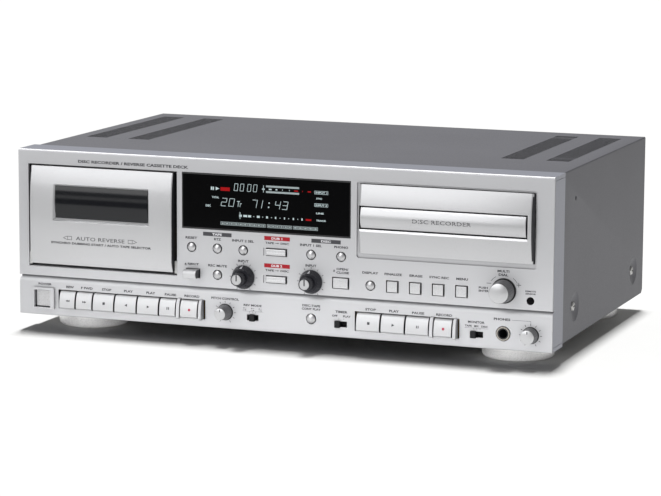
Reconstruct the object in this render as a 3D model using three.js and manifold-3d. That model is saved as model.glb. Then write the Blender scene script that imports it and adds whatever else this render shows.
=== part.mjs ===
// A full-width hi-fi component: an auto-reverse cassette deck and a disc recorder in one case.
// Millimetres, +Z up. Inside the deck group, x runs right from the panel's middle, y runs back
// from the panel's front face, and z runs up from the panel's lower edge. The exported group
// stands on z = 0, with its origin at the middle of its footprint.
import * as THREE from 'three';
import { mergeVertices } from 'three/addons/utils/BufferGeometryUtils.js';
import Module from 'manifold-3d';

const wasm = await Module();
wasm.setup();

// Case
const PANEL_WIDTH = 435;
const PANEL_HEIGHT = 130.5;
const PANEL_DEPTH = 28;
const WALL = 3;
const BODY_DEPTH = 271.4;
const KNOB_REACH = 15;
const FOOT_HEIGHT = 13.5;
const GAP = 0.35;
const COVER_HALF_WIDTH = 215.75;
const COVER_SHEET = 1.2;
const COVER_TOP = PANEL_HEIGHT - 0.6;
const COVER_BOTTOM = 1;
const BASE_SHEET = 1.5;
const GROOVE_DEPTH = 5;
const GROOVE_TOP = 31.2;
const GROOVE_FLOOR = 30.4;
const LOWER_STRIP_TOP = 26;

// Cassette compartment
const DOOR_OPENING = { x: [-209, -82.5], z: [38.3, 119.3] };
const DOOR = { x: [-206, -85.4], z: [41.1, 118], back: 6 };
const DOOR_PIVOT = { y: 3, z: 42.6 };
const WINDOW = { x: [-186.3, -104.4], z: [75.8, 105.6] };
const CASSETTE = { x: [-195.9, -95.5], y: [8, 20.5], z: [51.6, 115.4] };
const MECHANISM_FRONT = 26;
const REEL_X = -145.7;
const REEL_SPACING = 42.5;
const REEL_Z = 86;

// Disc compartment
const BEZEL_RECESS = { x: [64.3, 204.8], z: [61.7, 119.5] };
const BEZEL = { x: [66.5, 203], z: [65.6, 117.8], bulge: 4.4 };
const TRAY_SLOT = { x: [67.6, 198.2], z: [84.5, 101.5] };
const TRAY_FRONT = { x: [68.3, 197.5], z: [85.2, 100.8], bulge: 5 };
const TRAY = { x: [72, 194], y: [4.4, 148], z: [88, 94] };
const DISC = { x: 133, y: 74, r: 60.5 };
const DRIVE = { x: [66.5, 199.5], y: [10, 190], z: [76, 108], sheet: 1.5 };

const DISPLAY = { x: [-78.3, 59.5], z: [75.9, 119.4] };

// Round push buttons on the upper panel: name, x, z
const ROUND_BUTTONS = [
  ['reset_button', -70.3, 61.6],
  ['return_to_zero_button', -48.9, 61.6],
  ['tape_input_button', -27.5, 61.6],
  ['disc_input_button', 27.8, 61.6],
  ['phono_button', 52, 61.6],
  ['record_mute_button', -48.8, 41.3],
  ['display_button', 75.5, 41.2],
];
const ROUND_BUTTON_R = 3.3;
const ROUND_HOLE_R = 3.8;
const CONTINUOUS_PLAY = { x: 28, z: 12.5, r: 3.5, hole: 4 };

// Flat push buttons: name, x range, z range, how far the cap stands out
const FLAT_BUTTONS = [
  ['dub_one_button', [-8.3, 7.7], [59.3, 64.1], 1.8],
  ['dub_two_button', [-8.3, 7.7], [38.3, 43.1], 1.8],
  ['open_close_button', [46, 57.9], [37.7, 45.3], 1.5],
  ['finalize_button', [89.1, 97.3], [37.5, 45.5], 1.5],
  ['erase_button', [107.2, 115.4], [37.5, 45.5], 1.5],
  ['sync_record_button', [125.2, 133.4], [37.5, 45.5], 1.5],
  ['menu_button', [143.4, 151.6], [37.5, 45.5], 1.5],
];
const FLAT_HOLE_GAP = 0.65;
const EJECT = { x: [-74.6, -63.8], z: [38.2, 44.6], reach: 8 };
const POWER_FRAME = { x: [-205, -187], z: [5, 22], reach: 2.5 };
const POWER_HOLE = { x: [-204, -190.3], z: [6.2, 20] };
const POWER_KEY = { x: [-203.3, -191], z: [6.9, 19.3], recess: 0.6 };

// Transport keys: name and x range. Fixed fins stand beside the record keys.
const TAPE_KEYS = [
  ['tape_rewind_key', [-181.4, -168.1]],
  ['tape_forward_key', [-167.1, -153.5]],
  ['tape_stop_key', [-152.5, -134.9]],
  ['tape_play_reverse_key', [-133.9, -115.8]],
  ['tape_play_key', [-114.8, -97]],
  ['tape_pause_key', [-96, -82.6]],
  ['tape_record_key', [-78.5, -64.3]],
];
const DISC_KEYS = [
  ['disc_stop_key', [65.6, 84.3]],
  ['disc_play_key', [85.3, 103.8]],
  ['disc_pause_key', [104.8, 122.8]],
  ['disc_record_key', [127, 141]],
];
const TAPE_KEY_SLOT = [-182.1, -59];
const DISC_KEY_SLOT = [64.9, 146];
const TAPE_FINS = [[-82, -79.3], [-63.5, -61]];
const DISC_FINS = [[123.5, 126.2], [141.8, 144.3]];
const KEY_Z = [6.6, 20.2];
const KEY_SLOT_Z = [5.9, 20.9];
const KEY_TOP_REACH = 1;
const KEY_FOOT_REACH = 4.6;

// Turning knobs
const INPUT_KNOBS = [['tape_input_knob', -27.3, 41], ['disc_input_knob', 27.9, 41]];
const INPUT_KNOB = { outer: 9, inner: 4.9, skirt: 8, shaft: 3.1, bore: 3.5, tube: 4.6, hole: 5.1 };
const DIAL = { x: 180, z: 44.3, base: 8.6, nose: 7.6, reach: 13.5, shaft: 3, bore: 3.4, hole: 3.5 };
const PITCH = { x: -42.5, z: 12.8, base: 5.9, nose: 4.5, reach: 11 };
const PHONES_LEVEL = { x: 201, z: 12.3, base: 5.9, nose: 5.3, reach: 9.5 };
const SMALL_SHAFT_R = 2.6;
const SMALL_HOLE_R = 3.1;
const PHONES = { x: 180, z: 12.2, outer: 5.4, hole: 3.4, depth: 24 };

// Slide switches: name, slot x range, x of the cap's middle at rest
const SWITCHES = [
  ['reverse_mode_switch', [-24.5, -15], -19.75],
  ['timer_switch', [47.3, 57], 49.7],
  ['monitor_switch', [154.8, 164.5], 157.1],
];
const SWITCH_SLOT_Z = [7.9, 12.3];
const SWITCH_CAP = { halfWidth: 1.9, z: [8.3, 11.9], reach: 2.4 };
const SENSOR = { x: 200.5, z: 38, r: 3 };

const FEET = [
  ['foot_front_left', -177, 50],
  ['foot_front_right', 177, 50],
  ['foot_rear_left', -177, 231],
  ['foot_rear_right', 177, 231],
];
const FOOT_R = 27.7;

const INLET = { x: -165, z: 34, width: 22, height: 15, depth: 16, socket: [15.6, 8.6] };
const REAR_SOCKET_HOLES = { x: [20, 44, 68, 92], z: [70, 90], r: 5 };

// Shapes. An axis letter says which way a prism or a turned piece runs.
const X = new THREE.Vector3(1, 0, 0);
const Y = new THREE.Vector3(0, 1, 0);
const Z = new THREE.Vector3(0, 0, 1);
const BACK_TO_FRONT = new THREE.Vector3(0, -1, 0);

function toSolid(geometry) {
  const bare = geometry.clone();
  bare.deleteAttribute('normal');
  bare.deleteAttribute('uv');
  const merged = mergeVertices(bare, 1e-4);
  const index = merged.index.array;
  const triangles = [];
  for (let i = 0; i < index.length; i += 3) {
    const [a, b, c] = index.slice(i, i + 3);
    if (a !== b && b !== c && c !== a) triangles.push(a, b, c);
  }
  const vertProperties = merged.attributes.position.array;
  const triVerts = Uint32Array.from(triangles);
  return new wasm.Manifold(new wasm.Mesh({ numProp: 3, vertProperties, triVerts }));
}

function toGeometry(solid) {
  const mesh = solid.getMesh();
  const geometry = new THREE.BufferGeometry();
  geometry.setAttribute('position', new THREE.BufferAttribute(mesh.vertProperties, 3));
  geometry.setIndex(new THREE.BufferAttribute(mesh.triVerts, 1));
  geometry.computeVertexNormals();
  return geometry;
}

function block(x, y, z) {
  const box = new THREE.BoxGeometry(x[1] - x[0], y[1] - y[0], z[1] - z[0]);
  box.translate((x[0] + x[1]) / 2, (y[0] + y[1]) / 2, (z[0] + z[1]) / 2);
  return toSolid(box);
}

function outline(points) {
  return new THREE.Shape(points.map(([a, b]) => new THREE.Vector2(a, b)));
}

// A shape drawn in (y, z), run along x.
function prismX(shape, x) {
  const options = { depth: x[1] - x[0], bevelEnabled: false, curveSegments: 5 };
  const geometry = new THREE.ExtrudeGeometry(shape, options);
  geometry.applyMatrix4(new THREE.Matrix4().makeBasis(Y, Z, X)).translate(x[0], 0, 0);
  return toSolid(geometry);
}

// A shape drawn in (x, z), run along y.
function prismY(shape, y) {
  const options = { depth: y[1] - y[0], bevelEnabled: false, curveSegments: 4 };
  const geometry = new THREE.ExtrudeGeometry(shape, options);
  geometry.applyMatrix4(new THREE.Matrix4().makeBasis(X, Z, BACK_TO_FRONT)).translate(0, y[1], 0);
  return toSolid(geometry);
}

// A profile of (radius, y) points turned about the y axis through (x, z), listed from front to back.
function turnedY(profile, x, z, sides = 20) {
  const points = profile.map(([r, y]) => new THREE.Vector2(r, y));
  return toSolid(new THREE.LatheGeometry(points, sides)).translate([x, 0, z]);
}

// A profile of (radius, z) points turned about the z axis through (x, y), listed from the bottom up.
function turnedZ(profile, x, y, sides = 32) {
  const points = profile.map(([r, z]) => new THREE.Vector2(r, z));
  const geometry = new THREE.LatheGeometry(points, sides).rotateX(Math.PI / 2);
  return toSolid(geometry).translate([x, y, 0]);
}

function rodY(r, y, x, z, sides = 16) {
  return turnedY([[0, y[0]], [r, y[0]], [r, y[1]], [0, y[1]]], x, z, sides);
}

function rodX(r, x, y, z) {
  const rod = new THREE.CylinderGeometry(r, r, x[1] - x[0], 12).rotateZ(Math.PI / 2);
  return toSolid(rod.translate((x[0] + x[1]) / 2, y, z));
}

function roundedRectangle(x, z, r) {
  const shape = new THREE.Shape();
  shape.moveTo(x[0] + r, z[0]);
  shape.lineTo(x[1] - r, z[0]);
  shape.absarc(x[1] - r, z[0] + r, r, -Math.PI / 2, 0);
  shape.lineTo(x[1], z[1] - r);
  shape.absarc(x[1] - r, z[1] - r, r, 0, Math.PI / 2);
  shape.lineTo(x[0] + r, z[1]);
  shape.absarc(x[0] + r, z[1] - r, r, Math.PI / 2, Math.PI);
  shape.lineTo(x[0], z[0] + r);
  shape.absarc(x[0] + r, z[0] + r, r, Math.PI, Math.PI * 1.5);
  return shape;
}

function grown([low, high], by) {
  return [low - by, high + by];
}

function join(solids) {
  return solids.reduce((whole, piece) => whole.add(piece));
}

function cut(solid, tools) {
  return tools.reduce((left, tool) => left.subtract(tool), solid);
}

const deck = new THREE.Group();

const LOOKS = {
  silver: [0xc6c7cb, 0.35, 0.6],
  bright: [0xd8d9dc, 0.3, 0.6],
  cover: [0x808186, 0.5, 0.4],
  zinc: [0xa9abb0, 0.4, 0.8],
  dark: [0x4a4a50, 0.4, 0.2],
  black: [0x101012, 0.3, 0],
  smoked: [0x25262c, 0.1, 0],
  foot: [0xb9b7b4, 0.25, 0.9],
  gold: [0xc9b988, 0.3, 0.9],
};

function add(name, solid, look) {
  const [color, roughness, metalness] = LOOKS[look];
  const material = new THREE.MeshStandardMaterial({ color, roughness, metalness });
  const mesh = new THREE.Mesh(toGeometry(solid), material);
  mesh.name = name;
  deck.add(mesh);
}

// The front panel: a hollow tray with a groove right across its face and its openings cut through.
function frontPanel() {
  const half = PANEL_WIDTH / 2;
  const shape = new THREE.Shape();
  shape.moveTo(0.6, 0);
  shape.lineTo(PANEL_DEPTH, 0);
  shape.lineTo(PANEL_DEPTH, PANEL_HEIGHT);
  shape.lineTo(1.5, PANEL_HEIGHT);
  shape.lineTo(0, PANEL_HEIGHT - 1.5);
  shape.lineTo(0, GROOVE_TOP);
  shape.lineTo(GROOVE_DEPTH, GROOVE_TOP);
  shape.lineTo(GROOVE_DEPTH, GROOVE_FLOOR);
  shape.absellipse(
    GROOVE_DEPTH, LOWER_STRIP_TOP, GROOVE_DEPTH, GROOVE_FLOOR - LOWER_STRIP_TOP, Math.PI / 2, Math.PI,
  );
  shape.lineTo(0, 0.6);
  const rib = GROOVE_DEPTH + WALL;
  const hollow = outline([
    [WALL, WALL], [PANEL_DEPTH + 1, WALL], [PANEL_DEPTH + 1, PANEL_HEIGHT - WALL],
    [WALL, PANEL_HEIGHT - WALL], [WALL, 35], [rib, 34], [rib, 24], [WALL, 23],
  ]);
  const through = [-1, WALL + 1];
  const plain = (x, z) => block(x, through, z);
  const openings = [
    plain(DOOR_OPENING.x, DOOR_OPENING.z),
    plain(DISPLAY.x, DISPLAY.z),
    plain(grown(BEZEL.x, GAP), grown(BEZEL.z, GAP)),
    block(BEZEL_RECESS.x, [-1, 1.2], BEZEL_RECESS.z),
    plain(TAPE_KEY_SLOT, KEY_SLOT_Z),
    plain(DISC_KEY_SLOT, KEY_SLOT_Z),
    plain(grown(EJECT.x, 0.6), grown(EJECT.z, 0.6)),
    rodY(CONTINUOUS_PLAY.hole, through, CONTINUOUS_PLAY.x, CONTINUOUS_PLAY.z),
    rodY(DIAL.hole, through, DIAL.x, DIAL.z),
    rodY(SMALL_HOLE_R, through, PITCH.x, PITCH.z),
    rodY(SMALL_HOLE_R, through, PHONES_LEVEL.x, PHONES_LEVEL.z),
    rodY(PHONES.outer - 0.4 + GAP, through, PHONES.x, PHONES.z),
    rodY(SENSOR.r, through, SENSOR.x, SENSOR.z),
  ];
  for (const [, x, z] of ROUND_BUTTONS) openings.push(rodY(ROUND_HOLE_R, through, x, z));
  for (const [, x, z] of FLAT_BUTTONS) {
    openings.push(plain(grown(x, FLAT_HOLE_GAP), grown(z, FLAT_HOLE_GAP)));
  }
  for (const [, x, z] of INPUT_KNOBS) openings.push(rodY(INPUT_KNOB.hole, through, x, z));
  for (const [, slot] of SWITCHES) openings.push(plain(slot, SWITCH_SLOT_Z));
  const shell = prismX(shape, [-half, half]).subtract(prismX(hollow, [-half + WALL, half - WALL]));
  const fins = [...TAPE_FINS, ...DISC_FINS].map((x) => keySolid(x, [3, KEY_SLOT_Z[1] + 1], KEY_FOOT_REACH));
  const frame = block(POWER_FRAME.x, [-POWER_FRAME.reach, 1], POWER_FRAME.z);
  const powerHole = block(POWER_HOLE.x, [-POWER_FRAME.reach - 1, WALL + 1], POWER_HOLE.z);
  return join([cut(shell, openings), ...fins, frame]).subtract(powerHole);
}

// A transport key or a fin: its face leans out in a shallow curve towards its lower edge.
function keySolid(x, z, footReach, back = 2.9) {
  const shape = new THREE.Shape();
  shape.moveTo(back, z[0]);
  shape.lineTo(back, z[1]);
  shape.lineTo(-KEY_TOP_REACH, z[1]);
  shape.quadraticCurveTo(-footReach, z[1] - 3, -footReach, z[0] + 1);
  shape.lineTo(-footReach + 1, z[0]);
  return prismX(shape, x);
}

function topCover() {
  const half = COVER_HALF_WIDTH;
  const y = [PANEL_DEPTH + GAP, BODY_DEPTH];
  const outer = block([-half, half], y, [COVER_BOTTOM, COVER_TOP]);
  const inner = block(grown([-half, half], -COVER_SHEET), grown(y, 1), [0, COVER_TOP - COVER_SHEET]);
  return outer.subtract(inner);
}

function chassisBase() {
  const half = COVER_HALF_WIDTH - COVER_SHEET - GAP;
  const y = [PANEL_DEPTH + GAP + 0.05, BODY_DEPTH - 2 * BASE_SHEET - GAP];
  const floor = block([-half, half], y, [0, BASE_SHEET]);
  const side = [half - BASE_SHEET, half];
  const right = block(side, y, [BASE_SHEET - 0.1, 16]);
  const left = block([-side[1], -side[0]], y, [BASE_SHEET - 0.1, 16]);
  return join([floor, right, left]);
}

function rearPanel() {
  const half = COVER_HALF_WIDTH - COVER_SHEET - GAP;
  const y = [BODY_DEPTH - BASE_SHEET, BODY_DEPTH];
  const sheet = block([-half, half], y, [0, COVER_TOP - COVER_SHEET - GAP]);
  const reach = grown(y, 1);
  const inletX = grown([INLET.x, INLET.x], INLET.width / 2 + GAP);
  const inletZ = grown([INLET.z, INLET.z], INLET.height / 2 + GAP);
  const holes = [block(inletX, reach, inletZ)];
  for (const x of REAR_SOCKET_HOLES.x) {
    for (const z of REAR_SOCKET_HOLES.z) holes.push(rodY(REAR_SOCKET_HOLES.r, reach, x, z, 12));
  }
  return cut(sheet, holes);
}

// The mains inlet: a block with an oval socket open to the rear.
function mainsInlet() {
  const x = grown([INLET.x, INLET.x], INLET.width / 2);
  const z = grown([INLET.z, INLET.z], INLET.height / 2);
  const body = block(x, [BODY_DEPTH - INLET.depth, BODY_DEPTH], z);
  const [socketWidth, socketHeight] = INLET.socket;
  const socketX = grown([INLET.x, INLET.x], socketWidth / 2);
  const socketZ = grown([INLET.z, INLET.z], socketHeight / 2);
  const socket = roundedRectangle(socketX, socketZ, socketHeight / 2 - 0.1);
  return body.subtract(prismY(socket, [BODY_DEPTH - 12, BODY_DEPTH + 1]));
}

function foot(x, y) {
  const profile = [
    [0, -FOOT_HEIGHT], [FOOT_R - 3, -FOOT_HEIGHT], [FOOT_R - 1, -FOOT_HEIGHT + 0.8],
    [FOOT_R, -FOOT_HEIGHT + 2.6], [FOOT_R, -GAP], [0, -GAP],
  ];
  return turnedZ(profile, x, y);
}

// The cassette door, from its bright lower edge over a crease to a long convex face.
function cassetteDoor() {
  const shape = new THREE.Shape();
  shape.moveTo(DOOR.back, DOOR.z[0]);
  shape.lineTo(DOOR.back, DOOR.z[1]);
  shape.lineTo(-0.8, DOOR.z[1]);
  shape.quadraticCurveTo(-2.4, 112, -3.4, 104);
  shape.quadraticCurveTo(-4.4, 94, -4.4, 80);
  shape.lineTo(-4.4, 48.5);
  shape.lineTo(-1.6, DOOR.z[0]);
  const pinX = [DOOR.x[0] - 2.4, DOOR.x[1] + 2.4];
  const hollow = block(grown(DOOR.x, -2.5), [1.6, DOOR.back + 1], [45.5, DOOR.z[1] - 2.5]);
  const aperture = block(WINDOW.x, [-10, DOOR.back + 1], WINDOW.z);
  const shell = cut(prismX(shape, DOOR.x), [hollow, aperture]);
  const pins = [[pinX[0], DOOR.x[0] + 2], [DOOR.x[1] - 2, pinX[1]]];
  return join([shell, ...pins.map((x) => rodX(1.2, x, DOOR_PIVOT.y, DOOR_PIVOT.z))]);
}

function cassetteWindow() {
  return block(grown(WINDOW.x, -GAP), [-2.2, 0.8], grown(WINDOW.z, -GAP));
}

// The holder behind the door: a channel up each side, ledges that carry the cassette, a front tie.
function cassetteHolder() {
  const front = DOOR.back + GAP;
  const back = CASSETTE.y[1] + 0.6;
  const left = [CASSETTE.x[0] - 3, CASSETTE.x[0] - 0.8];
  const right = [CASSETTE.x[1] + 0.8, CASSETTE.x[1] + 3];
  const z = [CASSETTE.z[0] - 2.4, 112];
  const pieces = [block([left[0], right[1]], [front, front + 1.2], [z[0], 73])];
  for (const [rail, inward] of [[left, 1], [right, -1]]) {
    const outer = inward > 0 ? rail[0] : rail[1];
    const reachIn = (distance) => [outer, outer + inward * distance].sort((a, b) => a - b);
    pieces.push(block(rail, [front, back + 1.4], z));
    pieces.push(block(reachIn(8), [back, back + 1.4], z));
    pieces.push(block(reachIn(8), [front, front + 1.2], z));
    pieces.push(block(reachIn(24), [front, back + 1.4], [z[0], z[0] + 1.6]));
  }
  return join(pieces);
}

// The mechanism's plate stands behind the cassette, with an arm to each end of the door's hinge.
function mechanismPlate() {
  const y = [MECHANISM_FRONT, MECHANISM_FRONT + 1.6];
  const arms = [[DOOR.x[0] - 2.6, DOOR.x[0] - 0.6], [DOOR.x[1] + 0.6, DOOR.x[1] + 2.6]];
  const sheet = block([arms[0][0], arms[1][1]], y, [36, 122]);
  const pieces = [sheet];
  for (const x of arms) {
    pieces.push(block(x, [DOOR_PIVOT.y - 2.6, y[1]], [DOOR_PIVOT.z - 2.6, DOOR_PIVOT.z + 7]));
  }
  const holes = arms.map((x) => rodX(1.6, grown(x, 1), DOOR_PIVOT.y, DOOR_PIVOT.z));
  for (const side of [-1, 1]) holes.push(rodY(4.4, grown(y, 1), REEL_X + side * REEL_SPACING / 2, REEL_Z));
  return cut(join(pieces), holes);
}

function reelSpindle(side) {
  const x = REEL_X + side * REEL_SPACING / 2;
  const tip = 13.2;
  const back = MECHANISM_FRONT + 8;
  const profile = [
    [0, tip], [2.2, tip + 0.6], [3, tip + 2.4], [3, 23], [5.6, 23],
    [5.6, 25.2], [2.8, 25.2], [2.8, back], [0, back],
  ];
  const spindle = turnedY(profile, x, REEL_Z, 18);
  const splines = [0, 1, 2].map((turn) => {
    const spline = block([-0.6, 0.6], [tip + 2, 23.5], [2, 4.1]);
    return spline.rotate([0, turn * 120, 0]).translate([x, 0, REEL_Z]);
  });
  return join([spindle, ...splines]);
}

function displayWindow() {
  return block(grown(DISPLAY.x, -GAP), [0.2, 2.2], grown(DISPLAY.z, -GAP));
}

// The disc bezel bulges forward, with the tray's slot between two bright chamfers.
function discBezel() {
  const middle = (BEZEL.z[0] + BEZEL.z[1]) / 2;
  const shape = new THREE.Shape();
  shape.moveTo(WALL, BEZEL.z[0]);
  shape.lineTo(WALL, BEZEL.z[1]);
  shape.lineTo(-1, BEZEL.z[1]);
  shape.quadraticCurveTo(-2 * BEZEL.bulge + 1, middle, -1, BEZEL.z[0]);
  const lips = outline([
    [1, TRAY_SLOT.z[0]],
    [-BEZEL.bulge + 0.5, TRAY_SLOT.z[0] - 0.1],
    [-BEZEL.bulge - 1, TRAY_SLOT.z[0] - 3.4],
    [-BEZEL.bulge - 1, TRAY_SLOT.z[1] + 3.4],
    [-BEZEL.bulge + 0.5, TRAY_SLOT.z[1] + 0.1],
    [1, TRAY_SLOT.z[1]],
  ].reverse());
  const slot = block(TRAY_SLOT.x, [-10, 10], TRAY_SLOT.z);
  return cut(prismX(shape, BEZEL.x), [slot, prismX(lips, TRAY_SLOT.x)]);
}

function trayFront() {
  const middle = (TRAY_FRONT.z[0] + TRAY_FRONT.z[1]) / 2;
  const shape = new THREE.Shape();
  shape.moveTo(3.4, TRAY_FRONT.z[0]);
  shape.lineTo(3.4, TRAY_FRONT.z[1]);
  shape.lineTo(-2.6, TRAY_FRONT.z[1]);
  shape.quadraticCurveTo(-2 * TRAY_FRONT.bulge + 2.6, middle, -2.6, TRAY_FRONT.z[0]);
  return prismX(shape, TRAY_FRONT.x);
}

// The tray: a drawer with a dished seat for the disc and an opening for the turntable and the lens.
function discTray() {
  const body = block(TRAY.x, [TRAY.y[0] - 0.6, TRAY.y[1]], TRAY.z);
  const floor = TRAY.z[1] - 3;
  const seat = turnedZ([[0, floor], [DISC.r, floor], [DISC.r, 100], [0, 100]], DISC.x, DISC.y, 40);
  const opening = block([DISC.x - 17, DISC.x + 17], [DISC.y - 17, TRAY.y[1] - 10], [80, 100]);
  return cut(body, [seat, opening]);
}

// The drive housing: four walls round the tray's path, open at the front, with a rail under each edge.
function driveHousing() {
  const shell = block(DRIVE.x, DRIVE.y, DRIVE.z);
  const inner = block(
    grown(DRIVE.x, -DRIVE.sheet), [DRIVE.y[0] - 1, DRIVE.y[1] - DRIVE.sheet], grown(DRIVE.z, -DRIVE.sheet),
  );
  const railZ = [DRIVE.z[0] + 1, TRAY.z[0] - 0.4];
  const rails = [[DRIVE.x[0] + 1, TRAY.x[0] + 4], [TRAY.x[1] - 4, DRIVE.x[1] - 1]];
  return join([shell.subtract(inner), ...rails.map((x) => block(x, DRIVE.y, railZ))]);
}

// A socket for a 6.35 mm headphone plug.
function phonesJack() {
  const back = PHONES.depth;
  const profile = [
    [PHONES.hole, -0.8], [PHONES.outer, -0.8], [PHONES.outer, -GAP], [PHONES.outer - 0.4, -GAP],
    [PHONES.outer - 0.4, back], [0, back], [0, back - 1.5], [PHONES.hole, back - 1.5], [PHONES.hole, -0.8],
  ];
  return turnedY(profile, PHONES.x, PHONES.z, 24);
}

function roundButton(x, z, r, hole) {
  const profile = [
    [0, -1.7], [r - 1, -1.4], [r, -0.6], [r, WALL + 0.5], [hole + 0.8, WALL + 0.5],
    [hole + 0.8, WALL + 1.5], [0, WALL + 1.5],
  ];
  return turnedY(profile, x, z, 16);
}

function flatButton(x, z, reach) {
  const cap = prismY(roundedRectangle(x, z, 0.6), [-reach, WALL + 0.6]);
  return cap.add(block(grown(x, 1), [WALL + 0.5, WALL + 1.5], grown(z, 1)));
}

function ejectButton() {
  const shape = new THREE.Shape();
  shape.moveTo(WALL + 3, EJECT.z[0]);
  shape.lineTo(WALL + 3, EJECT.z[1]);
  shape.lineTo(-EJECT.reach + 2.4, EJECT.z[1]);
  shape.quadraticCurveTo(-EJECT.reach, EJECT.z[1] - 0.4, -EJECT.reach, EJECT.z[0] + 2.6);
  shape.lineTo(-EJECT.reach + 1, EJECT.z[0]);
  return prismX(shape, EJECT.x);
}

// A turning knob: its cap outside the panel, narrowing to a nose, and its shaft through the panel.
function turningKnob({ x, z, base, nose, reach }) {
  const profile = [
    [0, -reach], [nose - 0.5, -reach], [nose, -reach + 0.6], [base, -0.6],
    [SMALL_SHAFT_R, -0.6], [SMALL_SHAFT_R, 8], [0, 8],
  ];
  return turnedY(profile, x, z, 24);
}

function inputKnobOuter(x, z) {
  const { outer, skirt, bore, tube } = INPUT_KNOB;
  const profile = [
    [bore, -skirt], [outer - 0.7, -skirt], [outer - 0.1, -skirt + 0.7], [outer, -0.5],
    [tube, -0.5], [tube, 8], [bore, 8], [bore, -skirt],
  ];
  return turnedY(profile, x, z, 28);
}

function inputKnobInner(x, z) {
  const { inner, skirt, shaft } = INPUT_KNOB;
  const profile = [
    [0, -KNOB_REACH], [inner - 0.6, -KNOB_REACH], [inner, -KNOB_REACH + 0.7], [inner, -skirt - 0.4],
    [shaft, -skirt - 0.4], [shaft, 10], [0, 10],
  ];
  return turnedY(profile, x, z, 24);
}

function multiDial() {
  const { base, nose, reach, bore } = DIAL;
  const profile = [
    [0, -reach], [nose - 0.6, -reach], [nose, -reach + 0.7],
    [base, -1.3], [bore, -1.3], [bore, -8.4], [0, -8.4],
  ];
  return turnedY(profile, DIAL.x, DIAL.z, 32);
}

function multiDialShaft() {
  const profile = [[0, -8], [DIAL.shaft, -8], [DIAL.shaft, 4], [5, 4], [5, 7], [0, 7]];
  return turnedY(profile, DIAL.x, DIAL.z, 16);
}

function switchCap(x) {
  const { halfWidth, z, reach } = SWITCH_CAP;
  const cap = block(grown([x, x], halfWidth), [-reach, 4.6], z);
  return cap.add(block(grown([x, x], halfWidth + 4.4), [4.5, 5.6], grown(z, 1.4)));
}

add('front_panel', frontPanel(), 'silver');
add('top_cover', topCover(), 'cover');
add('chassis_base', chassisBase(), 'zinc');
add('rear_panel', rearPanel(), 'zinc');
add('mains_inlet', mainsInlet(), 'black');
for (const [name, x, y] of FEET) add(name, foot(x, y), 'foot');

add('cassette_door', cassetteDoor(), 'silver');
add('cassette_window', cassetteWindow(), 'smoked');
add('cassette_holder', cassetteHolder(), 'dark');
add('mechanism_plate', mechanismPlate(), 'zinc');
add('reel_spindle_left', reelSpindle(-1), 'dark');
add('reel_spindle_right', reelSpindle(1), 'dark');

add('display_window', displayWindow(), 'black');
add('disc_bezel', discBezel(), 'bright');
add('tray_front', trayFront(), 'bright');
add('disc_tray', discTray(), 'dark');
add('drive_housing', driveHousing(), 'zinc');

for (const [name, x, z] of ROUND_BUTTONS) {
  add(name, roundButton(x, z, ROUND_BUTTON_R, ROUND_HOLE_R), 'bright');
}
for (const [name, x, z, reach] of FLAT_BUTTONS) add(name, flatButton(x, z, reach), 'bright');
add('continuous_play_button', roundButton(
  CONTINUOUS_PLAY.x, CONTINUOUS_PLAY.z, CONTINUOUS_PLAY.r, CONTINUOUS_PLAY.hole,
), 'bright');
add('eject_button', ejectButton(), 'bright');
add('power_key', block(POWER_KEY.x, [POWER_KEY.recess, 9], POWER_KEY.z), 'bright');
for (const [name, x] of [...TAPE_KEYS, ...DISC_KEYS]) {
  add(name, keySolid(x, KEY_Z, KEY_FOOT_REACH, 9), 'bright');
}

for (const [name, x, z] of INPUT_KNOBS) {
  add(`${name}_outer`, inputKnobOuter(x, z), 'dark');
  add(`${name}_inner`, inputKnobInner(x, z), 'bright');
}
add('multi_dial', multiDial(), 'bright');
add('multi_dial_shaft', multiDialShaft(), 'zinc');
add('pitch_knob', turningKnob(PITCH), 'bright');
add('phones_level_knob', turningKnob(PHONES_LEVEL), 'bright');
for (const [name, , x] of SWITCHES) add(name, switchCap(x), 'black');
add('phones_jack', phonesJack(), 'gold');

deck.position.set(0, KNOB_REACH - (KNOB_REACH + BODY_DEPTH) / 2, FOOT_HEIGHT);
deck.name = 'disc_recorder_and_cassette_deck';
const group = new THREE.Group();
group.add(deck);

export default group;
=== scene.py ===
"""A full-width hi-fi component: an auto-reverse cassette deck and a disc recorder in one case.

Sizes are in millimetres in the panel's own frame: x runs right from the panel's middle, y runs back
from its front face and z runs up from its lower edge. PLACE turns them into metres in the row frame.
A span is the pair of a size's two ends, and a box or an opening is given by its spans.
"""

import math

import bmesh
import bpy
from mathutils import Matrix, Vector


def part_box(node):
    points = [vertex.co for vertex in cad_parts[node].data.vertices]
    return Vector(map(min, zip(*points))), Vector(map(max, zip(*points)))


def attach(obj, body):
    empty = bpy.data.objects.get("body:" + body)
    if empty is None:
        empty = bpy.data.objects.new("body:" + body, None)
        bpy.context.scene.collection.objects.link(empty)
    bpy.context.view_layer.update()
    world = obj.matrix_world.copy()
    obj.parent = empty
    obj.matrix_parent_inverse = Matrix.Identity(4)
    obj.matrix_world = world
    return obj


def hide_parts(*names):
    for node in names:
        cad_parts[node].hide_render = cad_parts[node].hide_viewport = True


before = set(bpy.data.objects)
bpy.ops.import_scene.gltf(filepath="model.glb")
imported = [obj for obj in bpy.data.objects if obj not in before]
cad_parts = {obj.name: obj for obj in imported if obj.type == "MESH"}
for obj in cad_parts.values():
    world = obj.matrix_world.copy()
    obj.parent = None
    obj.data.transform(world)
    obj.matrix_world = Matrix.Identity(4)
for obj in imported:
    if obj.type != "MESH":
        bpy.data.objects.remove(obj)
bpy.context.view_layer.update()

# ---- Driving sizes, in millimetres ----
PANEL_DEPTH = 28
PANEL_HEIGHT = 130.5
HALF_WIDTH = 217.5
TOP_ROUND = 1.6
LOW_ROUND = 0.7
SEAM = (1.9, 2.4)
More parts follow.
